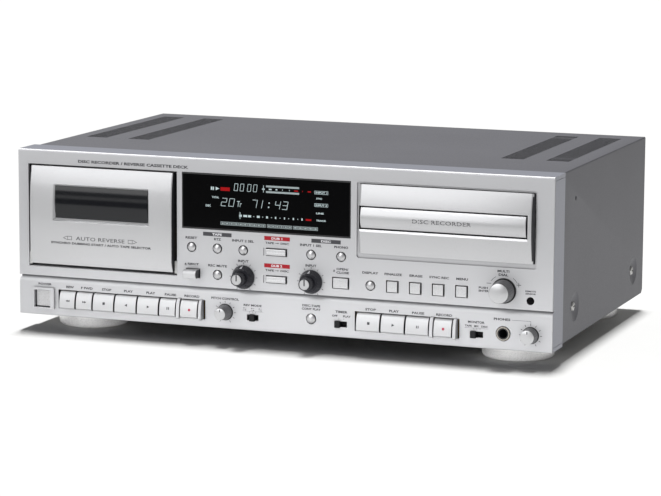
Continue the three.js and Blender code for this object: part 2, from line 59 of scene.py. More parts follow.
SEAM_DEPTH = 0.3
WALL = 3
# How far the cutters of the panel's openings reach, and the gap round a part that sits in a recess.
THROUGH = (-12, WALL + 0.5)
FIT = 0.35
COVER_HALF = 215.75
COVER_TOP = 129.9
COVER_SHEET = 1.2
BODY_DEPTH = 271.4
GROOVE_DEPTH = 5
GROOVE_TOP = 31.2
GROOVE_FLOOR = 30.4
STRIP_TOP = 26
DOOR_OPENING = ((-209, -82.5), (38.3, 119.3))
DOOR = {"x": (-206, -85.4), "z": (41.1, 118), "back": 6, "face": -4.4}
DOOR_BODY = "cassette_door_body"
HINGE = (3, 42.6)
WINDOW = ((-186.3, -104.4), (75.8, 105.6))
DISPLAY = ((-78.3, 59.5), (75.9, 119.4))
DISPLAY_FACE = 0.1
# The openings below this height, and away from the door, have walls in painted shade.
BUTTONS_TOP = 74
DOOR_SIDE_LOW = 34
BEZEL_RECESS = ((64.3, 204.8), (61.7, 119.5))
RECESS_DEPTH = 1.2
BEZEL = {"x": (66.5, 203), "z": (65.6, 117.8), "bulge": 4.4}
TRAY_SLOT = ((67.3, 198.6), (84.2, 101.8))
TRAY_FRONT = {"x": (68.4, 197.4), "z": (85.3, 100.7), "edge": 2.9, "bulge": 5}
LINER_Y = (3.05, 9.6)
KEY_Z = (6.6, 20.2)
KEY_SLOT_Z = (5.9, 20.9)
KEY_REACH = 4.6
KEY_SIGN_Z = 13.1

ROUND_BUTTONS = {
    "reset_button": (-70.3, 61.6),
    "return_to_zero_button": (-48.9, 61.6),
    "tape_input_button": (-27.5, 61.6),
    "disc_input_button": (27.8, 61.6),
    "phono_button": (52, 61.6),
    "record_mute_button": (-48.8, 41.3),
    "display_button": (75.5, 41.2),
}
CONTINUOUS_PLAY = (28, 12.5)
# Flat buttons: spans in x and z, and how far the cap reaches out.
FLAT_BUTTONS = {
    "dub_one_button": ((-8.3, 7.7), (59.3, 64.1), 1.8),
    "dub_two_button": ((-8.3, 7.7), (38.3, 43.1), 1.8),
    "open_close_button": ((46, 57.9), (37.7, 45.3), 1.5),
    "finalize_button": ((89.1, 97.3), (37.5, 45.5), 1.5),
    "erase_button": ((107.2, 115.4), (37.5, 45.5), 1.5),
    "sync_record_button": ((125.2, 133.4), (37.5, 45.5), 1.5),
    "menu_button": ((143.4, 151.6), (37.5, 45.5), 1.5),
}
DUB_BUTTONS = ("dub_one_button", "dub_two_button")
# The gap round a flat button, its wider gap on the left, and the depth of the line beside a dubbing bar.
CAP_GAP = 0.65
CAP_LEFT_GAP = 1.1
LINE_DEPTH = 1.2
EJECT = {"x": (-74.6, -63.8), "z": (38.2, 44.6), "reach": 8}
EJECT_GAP = 0.6
POWER_HOLE = ((-204, -190.3), (6.2, 20))
POWER_FRAME = ((-205, -187), (5, 22))
POWER_CAP = ((-203.3, -191), (6.9, 19.3))
# Keys, buttons, knobs and feet are given by their span or their middle on the panel or the base.
KEYS = {
    "tape_rewind_key": (-181.4, -168.1),
    "tape_forward_key": (-167.1, -153.5),
    "tape_stop_key": (-152.5, -134.9),
    "tape_play_reverse_key": (-133.9, -115.8),
    "tape_play_key": (-114.8, -97),
    "tape_pause_key": (-96, -82.6),
    "tape_record_key": (-78.5, -64.3),
    "disc_stop_key": (65.6, 84.3),
    "disc_play_key": (85.3, 103.8),
    "disc_pause_key": (104.8, 122.8),
    "disc_record_key": (127, 141),
}
KEY_SLOTS = ((-183.9, -59), (63.2, 146))
FINS = ((-82, -79.3), (-63.5, -61), (123.5, 126.2), (141.8, 144.3))
FIN_Z = (5.5, 21.3)
INPUT_KNOBS = {"tape_input_knob": (-27.3, 41), "disc_input_knob": (27.9, 41)}
DIAL = (180, 44.3)
PITCH = (-42.5, 12.8)
PHONES_LEVEL = (201, 12.3)
PHONES = (180, 12.2)
SENSOR = (200.5, 38)
KNOB_FACE = -14.75
# The small knobs: their middle, the radius of their nose and how far they reach.
SMALL_KNOBS = {"pitch_knob": (PITCH, 4.5, 11), "phones_level_knob": (PHONES_LEVEL, 5.3, 9.5)}
DOME_HOLE_R = 3.95
# The panel's other round openings: radius and middle.
ROUND_HOLES = (
    (5.1, INPUT_KNOBS["tape_input_knob"]),
    (5.1, INPUT_KNOBS["disc_input_knob"]),
    (4.15, CONTINUOUS_PLAY),
    (3.5, DIAL),
    (3, SENSOR),
    (3.1, PITCH),
    (3.1, PHONES_LEVEL),
    (5.7, PHONES),
)
# Switches: the slot's span in x, and the grip's middle at rest.
SWITCH_SLOTS = {
    "reverse_mode_switch": ((-24.5, -15), -19.75),
    "timer_switch": ((47.3, 57), 49.7),
    "monitor_switch": ((154.8, 164.5), 157.1),
}
SWITCH_Z = (7.9, 12.3)
FEET = {
    "foot_front_left": (-177, 50),
    "foot_front_right": (177, 50),
    "foot_rear_left": (-177, 231),
    "foot_rear_right": (177, 231),
}
FOOT_R = 27.7
FOOT_HEIGHT = 13.5
FOOT_EDGE = 3.2

VENTS = {"x": ((-204, -186), (-167, -149), (147, 165), (183, 201)), "y": (95, 251)}
VENT_PITCH = 3.25
VENT_SLOT = 2.3
VENTS_REAR = 258  # behind the last slot and ahead of the cover's rear edge
SIDE_SCREWS = ((66, 24), (240, 24))
DIMPLE_R = 11.2
SIDE_HOLE = (64, 107)
REAR_FACE = 270.4
SOCKETS = {"x": (20, 44, 68, 92), "z": (70, 90), "r": 5}
INLET = {"x": -165, "z": 34, "width": 22, "height": 15, "pin_gap": 4.3}
REAR_SCREWS = (
    (-207, 122), (207, 122), (-207, 10), (207, 10), (0, 122), (-100, 8), (100, 8), (56, 104), (56, 56),
)
REELS_X = -145.7
ROLLER_Z = 45.4
DISC = (133, 74)
BOARD_Z = (12, 13.6)
PART_Z = 13.65
KEY_BOARD_Y = (12, 13.6)
# The main board's chips: left end, front end, width and depth. The narrow ones have no legs.
CHIPS = (
    (20, 110, 28, 28),
    (80, 100, 20, 20),
    (130, 110, 32, 32),
    (-30, 180, 24, 10),
    (40, 190, 24, 10),
    (100, 200, 18, 18),
    (150, 200, 24, 10),
)
NO_LEGS_DEPTH = 10
LEG_PITCH = 1.6
TRANSFORMER = ((-204, -140), (185, 240), (2, 58))

# How far lettering and signs stand out of a face, and how deep they are rooted in it.
INK = 0.05
INK_ROOT = 0.02
LABEL_INK = 0.08
LETTER_WEIGHT = 0.034
THIN_LETTERS = 2.5
SIGN_LINE = 0.32
TICK = {"length": 1.5, "width": 0.42}

# Words: the height of their middle, the height of their letters, and each text with its two ends.
PANEL_WORDS = (
    (122.9, 2.3, ("DISC RECORDER / REVERSE CASSETTE DECK", -166, -73)),
    (68.8, 1.9, ("RESET", -75.4, -65.6), ("RTZ", -51.6, -45.9), ("INPUT 2 SEL", -36.8, -18.8)),
    (68.6, 1.6, ("TAPE", -9.4, -2.4), ("DISC", 3, 9.8)),
    (68.8, 1.9, ("INPUT 1 SEL", 18.8, 36.4), ("PHONO", 46.4, 57.6)),
    (48.3, 1.9, ("EJECT", -73.6, -64.2), ("REC MUTE", -56.6, -41)),
    (53.3, 1.9, ("INPUT", -31.8, -23.1), ("INPUT", 23.3, 32.2)),
    (47.6, 1.6, ("TAPE", -9.4, -2.4), ("DISC", 3, 9.8)),
    (52.2, 1.8, ("OPEN/", 48.2, 58)),
    (49.5, 1.8, ("CLOSE", 48.2, 58.4)),
    (
        50.9, 1.8,
        ("DISPLAY", 69, 81.8), ("FINALIZE", 86.7, 100.4), ("ERASE", 106.4, 116.7),
        ("SYNC REC", 122, 137.4), ("MENU", 143.1, 152.2),
    ),
    (58.9, 1.8, ("MULTI", 174.9, 184)),
    (56.2, 1.8, ("DIAL", 175.8, 183.2)),
    (45.6, 1.6, ("PUSH", 160.6, 167.6)),
    (43.2, 1.6, ("ENTER", 160.6, 168.4)),
    (45.2, 1.2, ("REMOTE", 196.5, 204.6)),
    (43.3, 1.2, ("SENSOR", 196.5, 204.6)),
    (24.5, 1.8, ("POWER", -201.2, -189.8)),
    (
        23.4, 1.9,
        ("REW", -177.2, -170.6), ("F FWD", -164.4, -154.4), ("STOP", -146.5, -138.3),
        ("PLAY", -127.6, -120), ("PLAY", -108.6, -101),
    ),
    (23.2, 1.9, ("PAUSE", -93, -83.3), ("RECORD", -76.5, -63.9), ("PITCH CONTROL", -54, -31)),
    (19.5, 1.7, ("REV MODE", -27.2, -12.4)),
    (22.6, 1.8, ("DISC-TAPE", 20.8, 35.4)),
    (20, 1.8, ("CONT PLAY", 20.4, 35.8)),
    (19.5, 1.8, ("TIMER", 47.6, 57.4)),
    (16.3, 1.6, ("OFF", 44.9, 49.4), ("PLAY", 53.8, 60)),
    (23, 1.9, ("STOP", 71.6, 80), ("PLAY", 90.6, 98.4)),
    (22.9, 1.9, ("PAUSE", 108.7, 118.4), ("RECORD", 127.7, 140.3)),
    (19.3, 1.8, ("MONITOR", 152.6, 165.5)),
    (16.3, 1.5, ("TAPE", 150.2, 155.6), ("MIX", 157.4, 161), ("DISC", 163, 168)),
    (22.9, 1.9, ("PHONES", 172.6, 185.4)),
)
DOOR_WORDS = (
    (63, 2.9, ("AUTO REVERSE", -166.4, -124.8)),
    (58.9, 1.8, ("SYNCHRO DUBBING START / AUTO TAPE SELECTOR", -187.8, -102.4)),
)
TRAY_WORDS = ((92.6, 2.9, ("DISC RECORDER", 109.8, 155.4)),)
# The left and right ends change places on the rear, which is read from behind.
REAR_WORDS = (
    (110, 2.6, ("TAPE", 50, 38)),
    (103, 2.2, ("IN", 24, 16), ("OUT", 49, 39)),
    (110, 2.6, ("DISC", 86, 74)),
    (103, 2.2, ("IN", 72, 64), ("OUT", 97, 87)),
    (90, 2.2, ("L", 8.8, 7.2)),
    (70, 2.2, ("R", 8.8, 7.2)),
    (48, 2.4, ("MAINS IN", -154, -176)),
)
DISPLAY_WORDS = (
    (101.2, 1.5, ("TOTAL", -53.4, -47.6)),
    (94.5, 1.6, ("DISC", -58.6, -54.3)),
    (109.2, 1.3, ("INPUT 1", 31.2, 40.4)),
    (104.7, 1.3, ("SYNC", 31.7, 36.4)),
    (99.7, 1.3, ("INPUT 2", 31.2, 40.4)),
    (93.5, 1.3, ("LINE", 31.7, 37.8)),
    (88, 1.3, ("TRACK", 31.7, 39.8)),
)
# Label bars: the word on the bar with its ends, and the bar's spans in x and z.
DARK_BARS = (
    (("TAPE", -53.2, -45.2), (-60.8, -37.2), (71, 74)),
    (("DISC", 35.8, 43.8), (28, 51.6), (71, 74)),
)
RED_BARS = (
    (("DUB 1", -4.4, 4.4), (-10.3, 10.6), (70.7, 73.8)),
    (("DUB 2", -4.4, 4.4), (-10.3, 10.6), (49.7, 52.8)),
)

# Signs on the panel: lines as (x span, z span), eject signs as (x, z, size), door arrows as (x, way).
PANEL_LINES = (
    ((166.6, 170.2), (49.1, 49.5)),
    ((189.6, 193.2), (49.1, 49.5)),
    ((191.2, 191.6), (47.6, 51)),
    ((186.3, 201.2), (22.7, 22.9)),
    ((201, 201.2), (20.4, 22.7)),
    ((-28, -11.2), (14.7, 14.85)),
    ((150, 168.4), (14.7, 14.85)),
)
SWITCH_STOPS = (-22.3, -19.8, -17.3, 50.4, 54.4, 157.2, 159.6, 162)
EJECT_SIGNS = ((-75.4, 48.5, 0.9), (46.4, 51.2, 0.8))
DOOR_ARROWS = ((-171.7, -1), (-120, 1))
# Arrows on the keys: shift from the middle, way and size.
KEY_ARROWS = {
    "rewind": ((-0.8, -1, 0.9), (0.8, -1, 0.9)),
    "forward": ((-0.8, 1, 0.9), (0.8, 1, 0.9)),
    "play_reverse": ((0, -1, 1.1),),
    "play": ((0, 1, 1.1),),
}

# Signs on the display, as (x span, z span), spans in x, places in x, or rows of cells.
COUNTER_PAUSE = (((-54.3, -53.2), (106.7, 109.2)), ((-52.8, -51.7), (106.7, 109.2)))
COUNTER_PLAY = ((-50.3, 109.3), (-50.3, 106.6), (-47.2, 107.95))
COUNTER_Z = 107.1
COUNTER_X = (-35.2, -30.3, -24.4, -19.5)
COUNTER_DIGIT = {"size": (2.7, 5.4), "width": 0.34, "slant": 0.12}
TIME_Z = 94.9
TIME = (("2", -46), ("0", -39.7), ("7", -21), ("1", -16.6), ("4", -2), ("3", 4))
TIME_DIGIT = {"size": (3.9, 5.9), "width": 0.38, "slant": 0.2}
LEVEL_SIGNS = (
    ((-11.3, -10.9), (107, 112.4)),
    ((-12.2, -10), (109, 110)),
    ((-6.7, -4.4), (109.1, 110.1)),
    ((-1.2, 0.2), (109.1, 110.1)),
    ((4.2, 4.6), (109.1, 110.1)),
    ((9.8, 10.2), (109.1, 110.1)),
)
COLON_AND_SCALE_SIGN = (
    ((-6.9, -5.9), (98.6, 99.6)),
    ((-7.3, -6.3), (95.4, 96.4)),
    ((-31, -28.8), (87.2, 88.9)),
    ((-30.5, -30), (85.7, 90.8)),
)
SCALE = (
    (-27.5, -24.4), (-23.6, -21.2), (-16.4, -14.1), (-8.9, -7.4), (-1.6, -0.6), (5.7, 6.5), (12.8, 13.8),
    (19.8, 20.8),
)
SCALE_DOTS = (-19, -11.7, -4.5, 2.5, 9.5, 16.8)
TRACK_CELLS = ((-46.3, -9, 10), (-8.1, 12.4, 6), (13.1, 33.4, 5))
RED_SIGNS = (
    ((-46.3, -38.7), (106.5, 109.2)),
    ((23.3, 27.8), (87.4, 88.7)),
    ((13.8, 17), (109, 109.9)),
    ((20.4, 20.8), (109, 109.9)),
    ((24.8, 27.4), (109, 109.9)),
)

# ---- Surfaces ----
NOISE_USED = (0.3, 0.7)  # the part of a noise texture's values that a surface uses
TINT_CELLS = 18  # cells per metre of the slow change of colour
GRAIN_DEPTH = 0.0002

# ---- Camera and lights: millimetres in the panel's frame for the camera, metres for the lights ----
CAMERA = {"lens": 152.7, "place": (776.3, -1948.5, 404.2), "yaw": 20.613, "pitch": 9.179, "roll": 0.3095}
WORLD_LIGHT = 0.22
# The suns of the floor alone: how far each leans forward, and its strength. Together they soften the
# front of the object's shadow.
FLOOR_SUNS = ((0.01, 0.65), (0.05, 0.85), (0.09, 0.95), (0.13, 1.05), (0.17, 1.1))
# Name, place, target, size, power and whether the light shows in reflections.
AREA_LIGHTS = (
    ("softbox", (-0.9, -1.9, 0.85), (0, -0.1, 0.07), (1.8, 1.2), 16, True),
    ("upper_light", (-0.5, -1.2, 1.4), (0, -0.1, 0.1), (1.2, 0.5), 10, True),
    ("low_light", (0.5, -1.7, 0.1), (0.05, -0.1, 0.03), (2.4, 0.45), 8, False),
    ("edge_light", (0.03, -0.2, 0.01), (0.03, -0.1, 0.024), (0.5, 0.02), 0.2, False),
)

panel_low, panel_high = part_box("front_panel")
PLACE = Matrix.Translation((0, panel_high.y - PANEL_DEPTH / 1000, panel_low.z)) @ Matrix.Scale(0.001, 4)


# ---- Materials ----
def new_material(name, colour, roughness, metallic):
    mat = bpy.data.materials.new(name)
    mat.use_nodes = True
    shader = mat.node_tree.nodes["Principled BSDF"]
    shader.inputs["Base Color"].default_value = (*colour, 1)
    shader.inputs["Roughness"].default_value = roughness
    shader.inputs["Metallic"].default_value = metallic
    return mat, shader


def noise(mat, scale, detail, stretch=(1, 1, 1)):
    """A noise texture in the piece's own coordinates, with scale in cells per metre."""
    nodes, links = mat.node_tree.nodes, mat.node_tree.links
    coords = nodes.new("ShaderNodeTexCoord")
    mapping = nodes.new("ShaderNodeMapping")
    mapping.inputs["Scale"].default_value = stretch
    texture = nodes.new("ShaderNodeTexNoise")
    texture.inputs["Scale"].default_value = scale
    texture.inputs["Detail"].default_value = detail
    links.new(coords.outputs["Object"], mapping.inputs["Vector"])
    links.new(mapping.outputs["Vector"], texture.inputs["Vector"])
    return texture.outputs["Fac"]


def ranged(mat, value, low, high):
    """A noise texture's value turned into a number between low and high."""
    node = mat.node_tree.nodes.new("ShaderNodeMapRange")
    ends = zip(("From Min", "From Max", "To Min", "To Max"), (*NOISE_USED, low, high))
    for socket, number in ends:
        node.inputs[socket].default_value = number
    mat.node_tree.links.new(value, node.inputs["Value"])
    return node.outputs["Result"]


def tinted(mat, value, dark, light):
    """A colour that runs from dark to light with a noise texture's value."""
    ramp = mat.node_tree.nodes.new("ShaderNodeValToRGB")
    for element, place, colour in zip(ramp.color_ramp.elements, NOISE_USED, (dark, light)):
        element.position = place
        element.color = (*colour, 1)
    mat.node_tree.links.new(value, ramp.inputs["Fac"])
    return ramp.outputs["Color"]


def surface(
    name, colour, roughness, metallic=0.0, grain=2500, bump=0.02, spread=0.04, stretch=(1, 1, 1), shine=0.5,
):
    """A finished surface: fine grain in its bump and roughness, and a slow change of colour over it."""
    mat, shader = new_material(name, colour, roughness, metallic)
    links = mat.node_tree.links
    fine = noise(mat, grain, 2, stretch)
    slow = noise(mat, TINT_CELLS, 2)
    dark = [c * (1 - spread) for c in colour]
    light = [min(1, c * (1 + spread)) for c in colour]
    links.new(tinted(mat, slow, dark, light), shader.inputs["Base Color"])
    links.new(ranged(mat, fine, roughness * 0.85, min(1, roughness * 1.15)), shader.inputs["Roughness"])
    relief = mat.node_tree.nodes.new("ShaderNodeBump")
    relief.inputs["Strength"].default_value = bump
    relief.inputs["Distance"].default_value = GRAIN_DEPTH
    links.new(fine, relief.inputs["Height"])
    links.new(relief.outputs["Normal"], shader.inputs["Normal"])
    shader.inputs["Specular IOR Level"].default_value = shine
    return mat


PANEL_SILVER = surface("panel_silver", (0.4, 0.402, 0.415), 0.45, 0.35, grain=3500, bump=0.08, spread=0.015)
# A darker, bluer silver for the panel's ends, top and bottom behind the seams. The seams are real, and the
# darker tone is painted shade on faces turned from the light.
PAINTED_SHADE_PANEL_ENDS = surface("painted_shade_panel_ends", (0.235, 0.242, 0.28), 0.42, 0.35, grain=3000, bump=0.08, spread=0.015)
TRIM_SILVER = surface("trim_silver", (0.46, 0.462, 0.473), 0.32, 0.6, grain=3500, bump=0.05, spread=0.015)
KEY_SILVER = surface("key_silver", (0.41, 0.412, 0.422), 0.36, 0.4, grain=3500, bump=0.02, spread=0.015)
COVER_GREY = surface("cover_grey", (0.108, 0.108, 0.121), 0.5, 0.3, grain=1600, bump=0.35, spread=0.03)
ZINC = surface("zinc_sheet", (0.5, 0.5, 0.5), 0.4, 0.85, grain=160, bump=0.05, spread=0.12)
FOOT_METAL = surface("foot_metal", (0.86, 0.855, 0.85), 0.3, 0.5, grain=900, bump=0.06, stretch=(1, 1, 12))
DARK_PLASTIC = surface("dark_plastic", (0.07, 0.07, 0.078), 0.45, grain=2200, bump=0.15)
KNOB_DARK = surface("knob_dark", (0.018, 0.018, 0.023), 0.24, 0.4, grain=2600, bump=0.08)
BLACK_PLASTIC = surface("black_plastic", (0.012, 0.012, 0.013), 0.4, grain=2200, bump=0.12)
DISPLAY_BLACK = surface("display_black", (0.002, 0.002, 0.0022), 0.12, grain=300, bump=0.01, shine=0.06)
SOCKET_METAL = surface("socket_metal", (0.48, 0.45, 0.4), 0.3, 0.95, grain=1200, bump=0.04)
LEGEND_GREY = surface("legend_grey", (0.014, 0.014, 0.018), 0.6, grain=2000, bump=0.01)
KNOB_SILVER = surface("knob_silver", (0.56, 0.563, 0.575), 0.32, 0.9, grain=3500, bump=0.05)
BUTTON_SILVER = surface("button_silver", (0.5, 0.5, 0.51), 0.3, 0.8, grain=3500, bump=0.03)
# A dark copy of the knob silver for the flanks of the dial and the small knobs: painted shade and painted
# dark reflection.
PAINTED_SHADE_KNOB_FLANK = surface("painted_shade_knob_flank", (0.19, 0.19, 0.195), 0.3, 0.9, grain=3500, bump=0.05)
# Near-black for the sides of the door, bezel, tray, caps and keys, and for the walls of the panel's small
# openings: painted shade.
PAINTED_SHADE_SIDES = surface("painted_shade_sides", (0.03, 0.03, 0.034), 0.4, 0.4, grain=2600, bump=0.05)
CAP_BRIGHT = surface("cap_bright", (0.47, 0.472, 0.482), 0.3, 0.5, grain=3500, bump=0.01)
# Near-black for the walls of the cover's vent slots: painted shade inside the slots.
PAINTED_SHADE_VENT_WALLS = surface("painted_shade_vent_walls", (0.012, 0.012, 0.014), 0.6, grain=1600, bump=0.1, shine=0.2)
GRIP_BLACK = surface("grip_black", (0.007, 0.007, 0.008), 0.5, grain=2200, bump=0.1, shine=0.2)
SCREW_STEEL = surface("screw_steel", (0.45, 0.45, 0.44), 0.3, 0.95, grain=1800, bump=0.06)
NICKEL = surface("nickel", (0.62, 0.6, 0.56), 0.22, 1, grain=1400, bump=0.04)
PCB_GREEN = surface("board_green", (0.012, 0.085, 0.035), 0.35, grain=700, bump=0.12, spread=0.12)
PCB_TAN = surface("board_tan", (0.23, 0.14, 0.06), 0.5, grain=900, bump=0.08, spread=0.1)
CHIP_BLACK = surface("chip_black", (0.014, 0.014, 0.015), 0.55, grain=3000, bump=0.1)
COPPER = surface("copper_wire", (0.42, 0.16, 0.06), 0.35, 0.9, grain=2400, bump=0.5, stretch=(1, 1, 20))
CORE_STEEL = surface("core_steel", (0.18, 0.18, 0.19), 0.5, 0.8, grain=1500, bump=0.5, stretch=(1, 25, 1))
RUBBER = surface("rubber", (0.02, 0.02, 0.02), 0.75, grain=1500, bump=0.15)
SOCKET_WHITE = surface("socket_white", (0.7, 0.7, 0.68), 0.45, grain=2200, bump=0.05)
SOCKET_RED = surface("socket_red", (0.42, 0.02, 0.02), 0.45, grain=2200, bump=0.05)
RIBBON = surface("ribbon_cable", (0.32, 0.33, 0.34), 0.5, grain=1300, bump=0.4, stretch=(6, 1, 1))
LABEL_RED = surface("label_red", (0.25, 0.008, 0.015), 0.5, grain=2000, bump=0.02, shine=0.2)
LABEL_DARK = surface("label_dark", (0.028, 0.028, 0.033), 0.5, grain=2000, bump=0.02)
LABEL_WHITE = surface("label_white", (0.5, 0.5, 0.52), 0.55, grain=2000, bump=0.01)
KEY_PRINT = surface("key_print", (0.025, 0.025, 0.03), 0.5, grain=2000, bump=0.01)
KEY_PRINT_RED = surface("key_print_red", (0.27, 0.01, 0.04), 0.5, grain=2000, bump=0.01)
SMOKED = surface("smoked_window", (0.004, 0.0045, 0.006), 0.1, grain=300, bump=0.004, shine=0.42)


def glowing(name, colour, strength):
    """The lit segments of the display."""
    mat = surface(name, colour, 0.5, grain=2000, bump=0.01, shine=0.1)
    shader = mat.node_tree.nodes["Principled BSDF"]
    shader.inputs["Emission Color"].default_value = (*colour, 1)
    shader.inputs["Emission Strength"].default_value = strength
    return mat


GLOW_WHITE = glowing("glow_white", (0.3, 0.36, 0.37), 0.42)
GLOW_DIM = glowing("glow_dim", (0.19, 0.22, 0.225), 0.45)
GLOW_RED = glowing("glow_red", (0.2, 0.001, 0.002), 0.5)


# ---- Mesh building ----
def shape_x(points, x):
    """A prism along x of an outline of (y, z) points."""
    return prism([[(end, y, z) for y, z in points] for end in x])


def rolled(points, x, roll, steps=4):
    """A prism along x whose front, ahead of y 0, rolls back by roll at both ends."""
    turns = [math.radians(90 * i / steps) for i in range(steps + 1)]
    stations = [(x[0] + roll * (1 - math.cos(t)), roll * (1 - math.sin(t))) for t in turns]
    stations += [(x[0] + x[1] - at, back) for at, back in reversed(stations)]
    count = len(points)
    verts = [(at, y + back * min(1, max(0, -y / 2)), z) for at, back in stations for y, z in points]
    last = count * (len(stations) - 1)
    faces = [tuple(range(count)), tuple(range(last + count - 1, last - 1, -1))]
    for start in range(0, last, count):
        for i in range(count):
            j = (i + 1) % count
            faces.append((start + i, start + j, start + count + j, start + count + i))
    return verts, faces


def shape_y(points, y):
    """A prism along y of an outline of (x, z) points."""
    return prism([[(px, end, pz) for px, pz in points] for end in y])


def shape_z(points, z):
    return prism([[(px, py, end) for px, py in points] for end in z])


def prism(rings):
    count = len(rings[0])
    verts = rings[0] + rings[1]
    faces = [tuple(range(count)), tuple(range(2 * count - 1, count - 1, -1))]
    faces += [(i, (i + 1) % count, count + (i + 1) % count, count + i) for i in range(count)]
    return verts, faces


def box(x, y, z):
    return shape_y([(x[0], z[0]), (x[1], z[0]), (x[1], z[1]), (x[0], z[1])], y)


def rounded(x, z, r, steps=6):
    """The outline of a rectangle with round corners."""
    x, z = grown(x, -r), grown(z, -r)
    corners = ((x[1], z[0], -90), (x[1], z[1], 0), (x[0], z[1], 90), (x[0], z[0], 180))
    points = []
    for cx, cz, start in corners:
        points += arc((cx, cz), r, start, start + 90, steps)
    return points


def turned(profile, centre, axis="y", steps=64, flute=0.0):
    """A profile of (radius, distance along the axis) turned about the axis; radius 0 closes an end.

    flute is how far every second step dips towards the axis, as a part of the radius.
    """
    verts, rings = [], []
    for r, along in profile:
        ring = []
        for i in range(1 if r == 0 else steps):
            turn = math.tau * i / steps
            reach = r * (1 - flute * (i % 2))
            a, b = reach * math.cos(turn), reach * math.sin(turn)
            spot = [centre[0] + a, centre[1] + b]
            spot.insert("xyz".index(axis), along)
            ring.append(len(verts))
            verts.append(spot)
        rings.append(ring)
    faces = []
    for first, second in zip(rings, rings[1:]):
        for i in range(steps):
            quad = [first[i % len(first)], first[(i + 1) % len(first)]]
            quad += [second[(i + 1) % len(second)], second[i % len(second)]]
            faces.append(tuple(dict.fromkeys(quad)))
    return verts, faces


def disc(r, centre, span, steps=64, axis="y"):
    return turned([(0, span[0]), (r, span[0]), (r, span[1]), (0, span[1])], centre, axis, steps)


def arc(centre, radius, start, end, steps):
    """Points on an arc of an ellipse; radius is one number or a pair."""
    ra, rb = radius if isinstance(radius, tuple) else (radius, radius)
    turns = [math.radians(start + (end - start) * i / steps) for i in range(steps + 1)]
    return [(centre[0] + ra * math.cos(t), centre[1] + rb * math.sin(t)) for t in turns]


def curve(start, pull, end, steps=12):
    """Points on a quadratic curve."""
    points = []
    for i in range(steps + 1):
        t = i / steps
        weights = ((1 - t) ** 2, 2 * t * (1 - t), t * t)
        points.append(tuple(sum(w * p[k] for w, p in zip(weights, (start, pull, end))) for k in (0, 1)))
    return points


def mesh_of(name, parts):
    """One mesh of several (verts, faces) parts, in metres in the row frame, with its faces out."""
    bm = bmesh.new()
    for verts, faces in parts:
        made = [bm.verts.new(PLACE @ Vector(v)) for v in verts]
        for face in faces:
            bm.faces.new([made[i] for i in face])
    bmesh.ops.recalc_face_normals(bm, faces=bm.faces)
    mesh = bpy.data.meshes.new(name)
    bm.to_mesh(mesh)
    bm.free()
    return mesh


def finish_mesh(obj, bevel, segments=3, angle=30):
    """Rounds the sharp edges by bevel millimetres and shades the rest smooth."""
    obj.data.shade_smooth()
    obj.data.set_sharp_from_angle(angle=math.radians(angle))
    if bevel:
        rounding = obj.modifiers.new("edges", "BEVEL")
        rounding.width = bevel / 1000
        rounding.segments = segments
        rounding.limit_method = "ANGLE"
        rounding.angle_limit = math.radians(angle)
        rounding.harden_normals = True


def piece(
    name, parts, material, body="case", bevel=0.0, stands_for=None, cutters=(), segments=3, angle=30,
    ends=None, is_end=lambda face: abs(face.normal.x) > 0.9,
):
    """A finished piece on a body, which may stand for a CAD node.

    bevel is in millimetres, and ends is a second material for the faces that is_end picks.
    """
    obj = bpy.data.objects.new(name, mesh_of(name, parts))
    bpy.context.scene.collection.objects.link(obj)
    for group in cutters:
        carve(obj, group)
    finish_mesh(obj, bevel, segments, angle)
    obj.data.materials.append(material)
    if ends:
        obj.data.materials.append(ends)
        for face in obj.data.polygons:
            face.material_index = int(is_end(face))
    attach(obj, body)
    if stands_for:
        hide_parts(stands_for)
    return obj


def carve(obj, parts):
    """Cuts the parts out of obj, and keeps the result as its mesh."""
    tool = bpy.data.objects.new("tool", mesh_of("tool", parts))
    bpy.context.scene.collection.objects.link(tool)
    cutting = obj.modifiers.new("cut", "BOOLEAN")
    cutting.operation = "DIFFERENCE"
    cutting.solver = "EXACT"
    cutting.object = tool
    bpy.context.view_layer.update()
    shown = obj.evaluated_get(bpy.context.evaluated_depsgraph_get())
    result = bpy.data.meshes.new_from_object(shown)
    obj.modifiers.clear()
    old = obj.data
    obj.data = result
    bpy.data.meshes.remove(old)
    bpy.data.objects.remove(tool)


def grown(span, by):
    """A span made longer by an amount at both ends."""
    return (span[0] - by, span[1] + by)


def around(middle, half):
    """The span from middle - half to middle + half."""
    return (middle - half, middle + half)


# ---- Case ----
def panel_openings():
    """The cutters of the openings that go straight through the panel's front."""
    cuts = [box(x, THROUGH, z) for x, z in (DOOR_OPENING, DISPLAY)]
    cuts += [box(x, THROUGH, KEY_SLOT_Z) for x in KEY_SLOTS]
    for name, (x, z, _) in FLAT_BUTTONS.items():
        is_bar = name in DUB_BUTTONS
        left_gap = CAP_GAP if is_bar else CAP_LEFT_GAP
        cuts.append(box((x[0] - left_gap, x[1] + CAP_GAP), THROUGH, grown(z, CAP_GAP)))
        if is_bar:
            cuts.append(box((x[0] - 2.6, x[0] - 2.1), (-1, LINE_DEPTH), grown(z, CAP_GAP)))
    cuts += [box(x, THROUGH, SWITCH_Z) for x, _ in SWITCH_SLOTS.values()]
    cuts += [disc(DOME_HOLE_R, spot, THROUGH) for spot in ROUND_BUTTONS.values()]
    cuts += [disc(r, spot, THROUGH) for r, spot in ROUND_HOLES]
    cuts.append(box(grown(EJECT["x"], EJECT_GAP), THROUGH, grown(EJECT["z"], EJECT_GAP)))
    cuts.append(box(POWER_HOLE[0], THROUGH, POWER_HOLE[1]))
    return cuts


